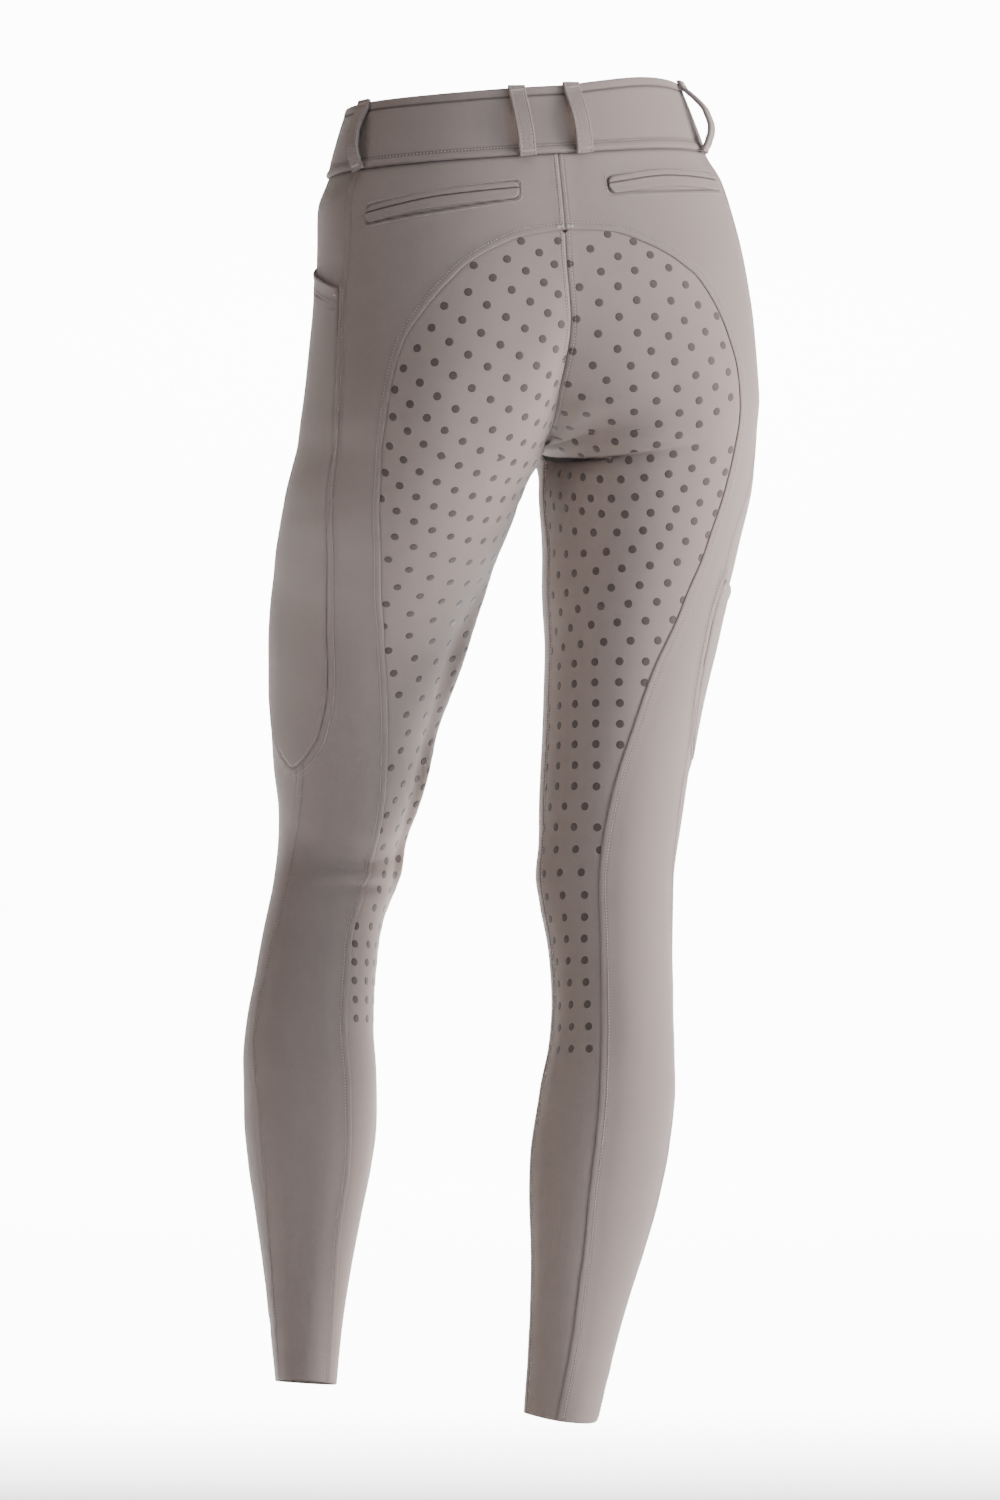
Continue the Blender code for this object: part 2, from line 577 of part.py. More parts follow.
def closed_wall(name, grids, thickness, flip):
    """A closed wall from grids of outer points and normals that share their edges."""
    index, outer, inner, faces = {}, [], [], []
    for points, normals in grids:
        rows, columns = points.shape[:2]
        numbers = np.zeros((rows, columns), int)
        for row in range(rows):
            for place in range(columns):
                key = tuple(np.round(points[row, place], SAME_POINT))
                if key not in index:
                    index[key] = len(outer)
                    outer.append(points[row, place])
                    inner.append(points[row, place] - normals[row, place] * thickness)
                numbers[row, place] = index[key]
        for row in range(rows - 1):
            for place in range(columns - 1):
                quad = (numbers[row, place], numbers[row, place + 1],
                        numbers[row + 1, place + 1], numbers[row + 1, place])
                faces.append(quad[::-1] if flip else quad)
    count = len(outer)
    edges = {(face[i], face[(i + 1) % 4]) for face in faces for i in range(4)}
    rim = [(b, a, a + count, b + count) for a, b in edges if (b, a) not in edges]
    lining = [tuple(corner + count for corner in face[::-1]) for face in faces]
    mesh = bpy.data.meshes.new(name)
    mesh.from_pydata([tuple(point * MM) for point in outer + inner], [], faces + lining + rim)
    return mesh


def cloth_grid(side, patch, lift, apart=1.0):
    """Outer points and normals of a patch, lifted off the cloth's face."""
    level, turn = patch
    normals = cloth_normal(side, level, turn, apart)
    return cloth_point(side, level, turn, apart) + normals * np.asarray(lift)[..., None], normals


def add_panel(name, side, patches, collection, colour, lift=0.0, thickness=CLOTH):
    """One cut piece of one leg."""
    grids = [cloth_grid(side, patch, lift) for patch in patches]
    mesh = closed_wall(name, grids, thickness, flip=SIDES[side] < 0)
    return add_object(name, mesh, collection, colour)


def band_patch(turns):
    """A stretch of waistband: levels down its height at the given turns."""
    level = np.array(BAND_LEVELS)[:, None] + np.zeros((1, len(turns)))
    turn = turns[None, :] + np.zeros((len(BAND_LEVELS), 1))
    return level, turn


def band_lift(level):
    """The waistband's face off the panels' face; its lower edge rolls out a little."""
    return BAND_LIFT + BAND_LIP * ease(BAND_HEIGHT - LIP_HEIGHT, BAND_HEIGHT, -level)


def band_grid(side, first, last, columns):
    """Outer points and normals of a stretch of waistband on one side."""
    patch = band_patch(np.linspace(first, last, columns + 1))
    return cloth_grid(side, patch, band_lift(patch[0]), apart=0.0)


def add_waistband(collection):
    """The back piece round both sides, and two front pieces that meet at the middle."""
    inset = SEAM_GAP / 2 / ring_length("left", -BAND_HEIGHT / 2)[0]
    side_turn = {side: getattr(SIDE_SEAM[0], side) for side in SIDES}
    left, left_normals = band_grid("left", side_turn["left"] - inset, 0.0, BAND_BACK_COLUMNS)
    right, right_normals = band_grid("right", 0.0, side_turn["right"] - inset, BAND_BACK_COLUMNS)
    whole = (np.concatenate([left, right[:, 1:]], axis=1),
             np.concatenate([left_normals, right_normals[:, 1:]], axis=1))
    add_object("waistband_back", closed_wall("waistband_back", [whole], BAND_WALL, True),
               collection, TRIM_COLOUR)
    for side in SIDES:
        grid = band_grid(side, side_turn[side] + inset, 1 - inset, BAND_FRONT_COLUMNS)
        name = "waistband_front_" + side
        mesh = closed_wall(name, [grid], BAND_WALL, flip=SIDES[side] < 0)
        add_object(name, mesh, collection, TRIM_COLOUR)


def add_belt_loop(loop, collection):
    """A flat strip standing off the waistband, fast at its upper and lower ends."""
    level = column(LOOP_PROFILE, "level")
    share = (level - level[0]) / (level[-1] - level[0])
    turn = loop.top_turn + (loop.bottom_turn - loop.top_turn) * share
    inner_face = column(LOOP_PROFILE, "stand_off") + band_lift(level)
    surface = cloth_point(loop.side, level, turn, 0.0)
    normals = cloth_normal(loop.side, level, turn, 0.0)
    middle = surface + normals * inner_face[:, None]
    along = unit(np.gradient(middle, axis=0))
    straight = unit(cloth_point(loop.side, -BAND_HEIGHT / 2, turn.mean() + DERIVATIVE_TURN, 0.0)
                    - cloth_point(loop.side, -BAND_HEIGHT / 2, turn.mean() - DERIVATIVE_TURN, 0.0))
    sideways = unit(straight - along * (along @ straight)[:, None])
    outward = unit(np.cross(sideways, along)) * SIDES[loop.side]
    offsets = np.array([-0.5, 0.5]) * LOOP_WIDTH
    points = (middle + outward * LOOP_WALL)[:, None] + sideways[:, None] * offsets[None, :, None]
    facing = np.repeat(outward[:, None], 2, axis=1)
    mesh = closed_wall(loop.name, [(points, facing)], LOOP_WALL, flip=SIDES[loop.side] < 0)
    return add_object(loop.name, mesh, collection, TRIM_COLOUR)


def add_button(collection):
    """The waist button, flat against the front of the waistband."""
    level, turn = np.array([BUTTON_LEVEL]), np.array([BUTTON_TURN])
    outward = cloth_normal("left", level, turn, 0.0)[0]
    off = BAND_LIFT + BUTTON_CLEAR + BUTTON_HEIGHT / 2
    place = cloth_point("left", level, turn, 0.0)[0] + outward * off
    bpy.ops.mesh.primitive_cylinder_add(vertices=BUTTON_SIDES, radius=BUTTON_DIAMETER / 2 * MM,
                                        depth=BUTTON_HEIGHT * MM, location=tuple(place * MM))
    button = bpy.context.object
    button.name = "waist_button"
    across = math.hypot(outward[0], outward[1])
    lean = math.atan2(across, outward[2])
    around = math.atan2(outward[1], outward[0])
    button.rotation_euler = (0.0, lean, around)
    rounding = button.modifiers.new("rounded_edge", "BEVEL")
    rounding.width = BUTTON_EDGE * MM
    rounding.segments = 2
    rounding.limit_method = "ANGLE"
    button.data.materials.append(material("waist_button_finish", BUTTON_COLOUR, 0.4))
    for owner in list(button.users_collection):
        owner.objects.unlink(button)
    collection.objects.link(button)
    return button


def clear_scene():
    """Remove everything that a new file starts with."""
    for thing in list(bpy.data.objects):
        bpy.data.objects.remove(thing, do_unlink=True)


def main():
    """Build every piece of the garment."""
    clear_scene()
    collection = bpy.data.collections.new(COLLECTION)
    bpy.context.scene.collection.children.link(collection)
    for side in SIDES:
        add_panel("seat_panel_" + side, side, seat_patches(side), collection, SEAT_COLOUR)
        add_panel("outer_back_panel_" + side, side, outer_back_patches(side), collection, CLOTH_COLOUR)
        add_panel("front_panel_" + side, side, front_patches(side), collection, CLOTH_COLOUR)
        add_panel("thigh_pocket_" + side, side, thigh_pocket_patches(side), collection, CLOTH_COLOUR,
                  lift=PATCH_LIFT + WELT_WALL, thickness=WELT_WALL)
        for upper, word in ((True, "upper"), (False, "lower")):
            add_panel("back_pocket_welt_" + word + "_" + side, side, welt_patches(side, upper),
                      collection, TRIM_COLOUR, lift=PATCH_LIFT + WELT_WALL, thickness=WELT_WALL)
    add_waistband(collection)
    for loop in BELT_LOOPS:
        add_belt_loop(loop, collection)
    add_button(collection)


if __name__ == "__main__":
    main()
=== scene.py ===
"""Riding breeches in their worn shape, with nobody in them: cloth, sewing and printed grip.

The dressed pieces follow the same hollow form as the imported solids. A place on the cloth is
a side, a level (millimetres below the waist, negative) and a turn: 0 at the centre back or
inseam, round the outer side of the leg, to 1 at the centre front or inseam. The wearer
faces -Y, +X is the wearer's left, and the origin is the centre of the waist opening.
Sizes are in millimetres and degrees until a mesh is made, which is in metres.
"""

import logging
import math
from dataclasses import dataclass, field
from enum import Enum
from typing import Any, NamedTuple, Sequence

import bpy
import numpy as np
from mathutils import Matrix, Vector


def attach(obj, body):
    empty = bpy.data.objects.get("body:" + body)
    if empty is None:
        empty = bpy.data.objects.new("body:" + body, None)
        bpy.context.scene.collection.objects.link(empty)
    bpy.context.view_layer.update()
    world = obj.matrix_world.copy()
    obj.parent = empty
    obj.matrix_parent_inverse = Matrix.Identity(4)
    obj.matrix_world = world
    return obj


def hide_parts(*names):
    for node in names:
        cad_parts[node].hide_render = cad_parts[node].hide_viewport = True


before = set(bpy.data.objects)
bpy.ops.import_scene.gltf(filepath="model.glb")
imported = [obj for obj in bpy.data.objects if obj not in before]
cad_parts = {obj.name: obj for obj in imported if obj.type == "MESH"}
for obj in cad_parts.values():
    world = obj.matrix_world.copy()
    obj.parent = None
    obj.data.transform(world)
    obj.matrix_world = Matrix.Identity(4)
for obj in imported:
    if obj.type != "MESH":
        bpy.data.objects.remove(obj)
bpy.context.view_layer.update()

LOG = logging.getLogger("breeches")
Array = np.ndarray
MM = 0.001
UP = np.array([0, 0, 1.0])


class Side(Enum):
    """The wearer's two sides."""

    LEFT = "left"
    RIGHT = "right"

    @property
    def sign(self) -> float:
        """Returns 1 on the side of +X and -1 on the other."""
        return 1.0 if self is Side.LEFT else -1.0

    @property
    def other(self) -> "Side":
        """Returns the opposite side."""
        return Side.RIGHT if self is Side.LEFT else Side.LEFT


class Middle(Enum):
    """The two lines where the left and right halves of the garment meet."""

    BACK = 0.0
    FRONT = 1.0


class Hold(Enum):
    """How a sheet of cloth is held."""

    STRETCHED = "stretched"
    FOLDED = "folded"


# ---- measures of the garment ----------------------------------------------------------
def rows_of(kind: type, *rows: tuple[float, ...]) -> tuple[Any, ...]:
    """Returns rows of numbers as named tuples of one kind."""
    return tuple(kind(*row) for row in rows)


class Section(NamedTuple):
    """One ring of cloth: its centre, reach and roundness, and the angle it fans over."""

    level: float
    centre_x: float
    centre_y: float
    half_width: float
    back: float
    front: float
    back_round: float
    front_round: float
    fan: float


SECTIONS = rows_of(
    Section,
    (0, 0, 0, 126, 95, 93, 2.2, 2.2, 90),
    (-50, 0, 0, 141, 105, 100, 2.3, 2.2, 90),
    (-72, 4, 1, 147, 109, 102, 2.35, 2.2, 92),
    (-100, 12, 2, 143, 114, 104, 2.4, 2.2, 96),
    (-150, 34, 5, 127, 121, 104, 2.4, 2.2, 106),
    (-200, 58, 8, 107, 121, 100, 2.4, 2.2, 118),
    (-230, 73, 8, 93, 114, 97, 2.35, 2.2, 126),
    (-256, 82, 6, 82, 105, 95, 2.25, 2.2, 134),
    (-300, 87, 1, 78, 91, 91, 2.15, 2.1, 152),
    (-340, 87, -3, 71, 82, 87, 2.1, 2.1, 167),
    (-380, 85, -5, 65, 75, 82, 2.1, 2.1, 176),
    (-460, 79, -6, 56, 65, 71, 2.0, 2.1, 180),
    (-540, 75, -3, 50, 57, 62, 2.0, 2.1, 180),
    (-578, 75, 0, 47, 53, 58, 2.0, 2.1, 180),
    (-637, 79, 5, 45, 52, 49, 2.0, 2.1, 180),
    (-673, 81, 8, 45, 55, 47, 2.0, 2.1, 180),
    (-709, 82, 9, 47, 57, 46, 2.0, 2.1, 180),
    (-745, 81, 9, 50, 57, 45, 2.0, 2.1, 180),
    (-782, 79, 7, 50, 54, 44, 2.0, 2.1, 180),
    (-818, 76, 5, 47, 49, 42, 2.0, 2.1, 180),
    (-854, 73, 3, 41, 43, 40, 2.0, 2.1, 180),
    (-890, 71, 1, 35, 38, 37, 2.0, 2.1, 180),
    (-927, 70, 0, 30, 34, 35, 2.0, 2.1, 180),
    (-979, 69, 0, 25, 30, 31, 2.0, 2.1, 180),
)


class Fullness(NamedTuple):
    """What differs from leg to leg: thigh, pocket, turned calf and the hem's dip behind."""

    thigh: float
    pocket: float
    calf_turned: float
    hem_dip: float


class Leg(NamedTuple):
    """How one leg stands, in degrees."""

    flex: float
    spread: float
    knee: float
    shank: float


class Fold(NamedTuple):
    """A trough (depth over 0) or ridge (under 0) along a line on the cloth."""

    level: float
    turn: float
    fall: float
    span: float
    width: float
    depth: float


class Reach(NamedTuple):
    """How much fuller (over 0) or flatter the worn cloth is on both sides of either leg."""

    level: float
    left_outer: float
    left_inner: float
    right_outer: float
    right_inner: float


FULLNESS = {Side.LEFT: Fullness(0.03, 10.0, 0.09, -1.0), Side.RIGHT: Fullness(0.0, 3.0, -0.01, 7.0)}
LEGS = {
    Side.LEFT: Leg(flex=20.0, spread=11.4, knee=26.0, shank=1.6),
    Side.RIGHT: Leg(flex=-4.0, spread=-9.0, knee=3.0, shank=0.8),
}
# The main folds of either side first, then the smaller creases: behind the knee, under the
# seat, across the front of the hip and at the ankle.
FOLDS = {
    Side.LEFT: rows_of(
        Fold,
        (-276, 0.08, 0, 0.09, 8, 1.8), (-607, 0.22, 40, 0.09, 7, 2.4),
        (-592, 0.22, 40, 0.12, 11, -1.4), (-236, 0.88, -160, 0.10, 9, 2.2),
        (-262, 0.86, -130, 0.12, 11, 2.0), (-606, 0.205, 18, 0.035, 2.4, 1.3),
        (-575, 0.20, 30, 0.08, 5, 0.7), (-588, 0.25, 35, 0.06, 4, 0.5),
        (-624, 0.19, -20, 0.08, 6, 0.8), (-641, 0.26, -30, 0.09, 8, 0.6),
        (-291, 0.07, 50, 0.06, 6, 0.7), (-304, 0.14, -30, 0.07, 8, 0.5),
        (-208, 0.80, -120, 0.10, 10, 1.4), (-288, 0.90, 100, 0.07, 7, 1.1),
        (-310, 0.84, 70, 0.08, 9, 0.8), (-300, 0.46, 120, 0.09, 10, 0.7),
        (-936, 0.52, 20, 0.24, 6, 0.6), (-956, 0.30, -25, 0.20, 5, 0.5),
        (-917, 0.78, 30, 0.20, 7, 0.5),
    ),
    Side.RIGHT: rows_of(
        Fold,
        (-274, 0.09, 0, 0.10, 8, 2.0), (-259, 0.09, 0, 0.12, 11, -1.0),
        (-240, 0.05, 0, 0.05, 20, -3.0), (-246, 0.89, -140, 0.09, 9, 1.5),
        (-561, 0.11, -20, 0.10, 9, 0.6), (-586, 0.08, 20, 0.09, 7, 0.7),
        (-611, 0.13, -25, 0.11, 9, 0.6), (-216, 0.86, -150, 0.09, 9, 0.9),
        (-278, 0.90, 120, 0.08, 8, 0.9), (-561, 0.84, 40, 0.10, 9, 0.6),
        (-604, 0.88, -30, 0.10, 8, 0.7), (-931, 0.28, 25, 0.22, 6, 0.5),
        (-951, 0.62, -20, 0.24, 6, 0.6), (-908, 0.80, 30, 0.18, 7, 0.5),
    ),
}

REACH = rows_of(
    Reach,
    (0, -1, 0, -3, 0),        # waist
    (-55, 2, 0, -2, 0),       # under the waistband
    (-110, 0, 0, 0, 0),
    (-160, -2, 0, -2, 0),
    (-215, -2, 0, -6, 0),     # fullest part of the seat
    (-260, 0, -2, -3, -3),    # crotch
    (-310, -4, -1, -2, -2),
    (-370, -4, 4, 0, 0),      # middle of the thigh
    (-425, 0, 2, 1, -2),
    (-480, -2, -1, 2, -2),    # foot of the pocket
    (-550, -8, 0, 3, 0),      # above the knee
    (-590, -5, 2, 3, 4),      # behind the knee
    (-650, 1, -3, 1, -2),
    (-710, 4, -3, 1, -4),     # fullest part of the calf
    (-780, 2, 0, 2, -2),
    (-860, 3, 0, 5, -4),
    (-930, 0, 1, 2, 0),       # ankle
    (-979, -5, 3, -2, 4),     # hem
)


class CreasePoint(NamedTuple):
    """A point of the crease where the seat hangs over the thigh: how deep it is and how dark its
    painted shadow is.
    """

    turn: float
    level: float
    depth: float
    dark: float


UNDER_SEAT = {
    Side.RIGHT: rows_of(
        CreasePoint,
        (0.0, -263, 0.0, 3.0), (0.030, -267, 3.0, 4.5), (0.067, -270.5, 4.2, 3.0),
        (0.095, -274, 4.2, 1.8), (0.119, -275.2, 3.8, 1.2), (0.139, -274.4, 2.8, 0.8),
        (0.156, -273, 2.1, 0.4), (0.173, -271, 1.3, 0.2), (0.199, -268, 0.5, 0.05),
        (0.230, -265, 0.0, 0.0), (1.0, -265, 0.0, 0.0),
    ),
    Side.LEFT: rows_of(CreasePoint, (0.0, -266, 0.0, 0.0), (1.0, -266, 0.0, 0.0)),
}


class SeamPoint(NamedTuple):
    """A level on a seam and its turn on either side."""

    level: float
    left: float
    right: float


ARCH_LEVEL = -142.0
SEAT_SEAM = rows_of(
    SeamPoint,
    (-106, 0.000, 0.000), (-107, 0.040, 0.036), (-109, 0.088, 0.080), (-118, 0.148, 0.135),
    (-128, 0.186, 0.173), (-142, 0.216, 0.208), (-162, 0.250, 0.232), (-180, 0.272, 0.244),
    (-205, 0.283, 0.251), (-230, 0.287, 0.255), (-256, 0.290, 0.264), (-285, 0.290, 0.277),
    (-320, 0.284, 0.290), (-345, 0.276, 0.292), (-385, 0.257, 0.282), (-430, 0.241, 0.256),
    (-475, 0.221, 0.235), (-525, 0.203, 0.209), (-570, 0.193, 0.191), (-610, 0.201, 0.184),
    (-655, 0.220, 0.183), (-705, 0.219, 0.187), (-760, 0.202, 0.196), (-820, 0.190, 0.203),
    (-870, 0.199, 0.213), (-915, 0.186, 0.210), (-979, 0.165, 0.170),
)
ARCH = tuple(row for row in SEAT_SEAM if row.level >= ARCH_LEVEL)
SIDE_SEAM = rows_of(
    SeamPoint,
    (-50, 0.412, 0.395), (-110, 0.404, 0.395), (-150, 0.408, 0.395), (-230, 0.401, 0.390),
    (-285, 0.394, 0.374), (-333, 0.393, 0.368), (-363, 0.394, 0.374), (-450, 0.398, 0.395),
    (-530, 0.407, 0.407), (-580, 0.421, 0.421), (-625, 0.438, 0.438), (-665, 0.460, 0.460),
    (-705, 0.472, 0.472), (-745, 0.462, 0.462), (-785, 0.438, 0.438), (-825, 0.442, 0.442),
    (-865, 0.462, 0.462), (-920, 0.470, 0.470), (-979, 0.472, 0.472),
)


class PocketRow(NamedTuple):
    """The back and front end of one row across a thigh pocket."""

    back_level: float
    back_turn: float
    front_level: float
    front_turn: float


THIGH_POCKETS = {
    Side.LEFT: rows_of(
        PocketRow,
        (-135, 0.416, -113, 0.600), (-200, 0.404, -190, 0.610), (-270, 0.396, -265, 0.610),
        (-303, 0.384, -300, 0.610), (-364, 0.360, -364, 0.602), (-407, 0.350, -407, 0.588),
        (-438, 0.347, -436, 0.572), (-472, 0.356, -464, 0.548), (-492, 0.380, -482, 0.520),
        (-503, 0.404, -494, 0.492), (-508, 0.424, -503, 0.458),
    ),
    Side.RIGHT: rows_of(
        PocketRow,
        (-361, 0.368, -378, 0.595), (-390, 0.364, -400, 0.590), (-410, 0.366, -415, 0.583),
        (-432, 0.375, -434, 0.570), (-455, 0.386, -455, 0.552), (-474, 0.402, -472, 0.530),
        (-487, 0.432, -484, 0.505), (-493, 0.455, -490, 0.482),
    ),
}


class Welt(NamedTuple):
    """Where a back pocket's welt lies."""

    inner_turn: float
    outer_turn: float
    inner_level: float
    middle_level: float
    outer_level: float


BACK_WELTS = {
    Side.LEFT: Welt(0.095, 0.362, -69.0, -71.5, -79.0),
    Side.RIGHT: Welt(0.095, 0.356, -69.0, -64.5, -67.0),
}


class LoopPlace(NamedTuple):
    """Where a belt loop sits on the waistband, and how loosely it stands off."""

    node: str
    side: Side
    top_turn: float
    bottom_turn: float
    slack: float


BELT_LOOPS = (
    LoopPlace("belt_loop_back_left", Side.LEFT, 0.088, 0.074, 0.8),
    LoopPlace("belt_loop_back_right", Side.RIGHT, 0.046, 0.054, 0.8),
    LoopPlace("belt_loop_side_left", Side.LEFT, 0.424, 0.394, 1.0),
    LoopPlace("belt_loop_side_right", Side.RIGHT, 0.386, 0.360, 1.5),
    LoopPlace("belt_loop_front_left", Side.LEFT, 0.850, 0.850, 0.9),
    LoopPlace("belt_loop_front_right", Side.RIGHT, 0.850, 0.850, 1.0),
)


class GripRow(NamedTuple):
    """One row of grip dots: a known dot, and how the row runs through it.

    The dot with number column lies x millimetres out from the middle plane, measured on
    the cloth, at the level. Neighbours follow pitch millimetres apart, at tilt degrees
    upwards there, and curl degrees more for each further dot.
    """

    row: float
    column: float
    x: float
    level: float
    pitch: float
    tilt: float
    curl: float


FIRST_ROW_UNDER_SEAT = 9
GRIP_ROWS = {
    Side.LEFT: rows_of(
        GripRow,
        (-1, 1, 19, -105, 15.5, 36, 0.0), (0, 1, 25, -122, 15.5, 36, 0.5),
        (2, 2, 49, -148, 15.9, 36, 1.5), (4, 2, 61, -187, 16.2, 33, 4.0),
        (6, 3, 83, -215, 16.2, 30, 5.0), (8, 4, 100, -240, 16.2, 27, 4.6),
        (10, 4, 97, -271, 15.8, 20, 5.0), (12, 4, 89, -301, 16.2, 15, 4.5),
        (14, 4, 76, -333, 18.7, 11, 4.0), (16, 5, 79, -361, 21.0, 12, 3.0),
        (18, 5, 63, -396, 22.5, 10, 1.0), (20, 5, 46, -430, 23.0, 8, 0.5),
        (22, 5, 28, -461, 23.0, 6, 0.0), (24, 6, 38, -488, 21.5, 3, 0.0),
        (26, 7, 48, -514, 21.0, 0, 0.0), (28, 8, 56, -539, 20.0, 0, 0.0),
        (30, 8, 40, -574, 20.0, 0, 0.0), (33, 9, 48, -622, 18.0, -5, 0.0),
        (36, 10, 52, -664, 14.5, -5, 0.0), (39, 11, 46, -706, 15.5, -5, 0.0),
    ),
    Side.RIGHT: rows_of(
        GripRow,
        (-1, 0, 15, -121, 16.5, 38, 0.0), (0, 0, 20, -138, 17.0, 38, 0.0),
        (2, 1, 44, -160, 18.0, 39, 0.0), (4, 2, 66, -187, 17.5, 37, 1.5),
        (6, 2, 72, -226, 17.0, 32, 3.5), (8, 2, 78, -261, 16.4, 27, 5.0),
        (9, 2, 77, -275, 16.5, 14, 7.5), (10, 2, 76, -290, 17.6, 12, 6.0),
        (11, 2, 72, -305, 18.0, 11, 5.5), (12, 3, 86, -316, 18.8, 14, 6.5),
        (14, 3, 78, -344, 19.9, 12, 4.0), (16, 3, 67, -374, 21.0, 8, 2.0),
        (18, 3, 53, -402, 21.0, 6, 1.0), (20, 3, 38, -431, 19.3, 3, 0.0),
        (22, 4, 42, -461, 18.5, 2, 0.0), (24, 5, 45, -491, 18.3, 1, 0.0),
        (26, 6, 48, -522, 18.5, 0, 0.0), (28, 6, 32, -552, 19.0, 0, 0.0),
        (31, 8, 44, -604, 19.5, 0, 0.0), (34, 9, 45, -652, 16.5, 0, 0.0),
        (38, 11, 51, -717, 16.5, 0, 0.0),
    ),
}


# Width and length of each piece's cut, in metres: what shows of it.
CUTS = {
    "seat_panel": (0.165, 0.885),
    "outer_back_panel": (0.165, 0.93),
    "front_panel": (0.325, 0.93),
    "thigh_pocket_left": (0.160, 0.40),
    "thigh_pocket_right": (0.135, 0.135),
    "welt_lip": (0.112, 0.0102),
    "waistband_back": (0.335, 0.055),
    "waistband_front": (0.225, 0.055),
    "belt_loop": (0.0135, 0.060),
}


# How finely the cloth is measured: points on a ring, the flat grid's levels and turns, a
# trace's step in millimetres, and how many places are measured at once.
RING_POINTS = 49
FLAT_LEVELS = 197
FLAT_TURNS = 121
TRACE_STEP = 1.2
CHUNK = 4000


# ---- small tools ----------------------------------------------------------------------
def column(table: Sequence[Any], name: str) -> Array:
    """Returns one named column of a table as floats."""
    return np.array([getattr(row, name) for row in table], float)


def follow(knots: Array, values: Array, at: Array) -> Array:
    """Draws a smooth curve through a table that never swings past its values.

    Each span is a Hermite cubic; the slope at a knot is the harmonic mean of the slopes
    on its two sides, or nothing where they differ in sign.

    Args:
        knots: rising places.
        values: the value at each.
        at: where the curve is wanted.

    Returns:
        The curve's values, shaped as at.
    """
    knots, values, at = np.asarray(knots, float), np.asarray(values, float), np.asarray(at, float)
    step = np.diff(knots)
    rise = np.diff(values) / step
    slopes = np.concatenate([rise[:1], np.zeros(len(knots) - 2), rise[-1:]])
    same_way = rise[:-1] * rise[1:] > 0
    total = np.where(same_way, rise[:-1] + rise[1:], 1.0)
    slopes[1:-1] = np.where(same_way, 2 * rise[:-1] * rise[1:] / total, 0.0)
    index = np.clip(np.searchsorted(knots, at) - 1, 0, len(step) - 1)
    part = (at - knots[index]) / step[index]
    start, end = values[index], values[index + 1]
    start_slope, end_slope = slopes[index] * step[index], slopes[index + 1] * step[index]
    cubed, squared = part ** 3, part ** 2
    return ((2 * cubed - 3 * squared + 1) * start + (cubed - 2 * squared + part) * start_slope
            + (3 * squared - 2 * cubed) * end + (cubed - squared) * end_slope)


def by_level(table: Sequence[Any], name: str, level: Array) -> Array:
    """Returns a column at any level of a table whose rows go down from the waist."""
    return follow(-column(table, "level"), column(table, name), -np.asarray(level, float))


def coarse(step: float) -> float:
    """Returns a step of a grid, as it is."""
    return step * 1


def ring_measure(name: str, level: Array) -> Array:
    """Returns one measure of the rings of cloth at given levels."""
    return by_level(SECTIONS, name, level)


def under_seat(side: Side, name: str, turn: Array) -> Array:
    """Returns a column of the crease under the seat at given turns, by straight lines."""
    return np.interp(turn, column(UNDER_SEAT[side], "turn"), column(UNDER_SEAT[side], name))


def ease(start: float, end: float, value: Array) -> Array:
    """Goes from 0 at start to 1 at end along the smooth step 3t^2 - 2t^3."""
    part = np.clip((value - start) / (end - start), 0, 1)
    return part * part * (3 - 2 * part)


def unit(vectors: Array) -> Array:
    """Returns the vectors at length 1."""
    return vectors / np.maximum(np.linalg.norm(vectors, axis=-1, keepdims=True), 1e-9)


def travelled(points: Array) -> Array:
    """Returns how far along a line each of its points lies."""
    return np.concatenate([[0.0], np.cumsum(np.linalg.norm(np.diff(points, axis=0), axis=1))])


def turn_about(points: Array, axis: str, degrees: Array, centre: Array) -> Array:
    """Turns points about a line through centre along X or Y.

    Args:
        points: places, last axis xyz.
        axis: "X" or "Y".
        degrees: the angle, which may differ from point to point.
        centre: a point on the line.

    Returns:
        The turned points.
    """
    angle = np.radians(degrees)
    cosine, sine = np.cos(angle), np.sin(angle)
    x, y, z = np.moveaxis(points - centre, -1, 0)
    if axis == "X":
        moved = (x, y * cosine - z * sine, y * sine + z * cosine)
    else:
        moved = (x * cosine + z * sine, y, z * cosine - x * sine)
    return np.stack(moved, -1) + centre


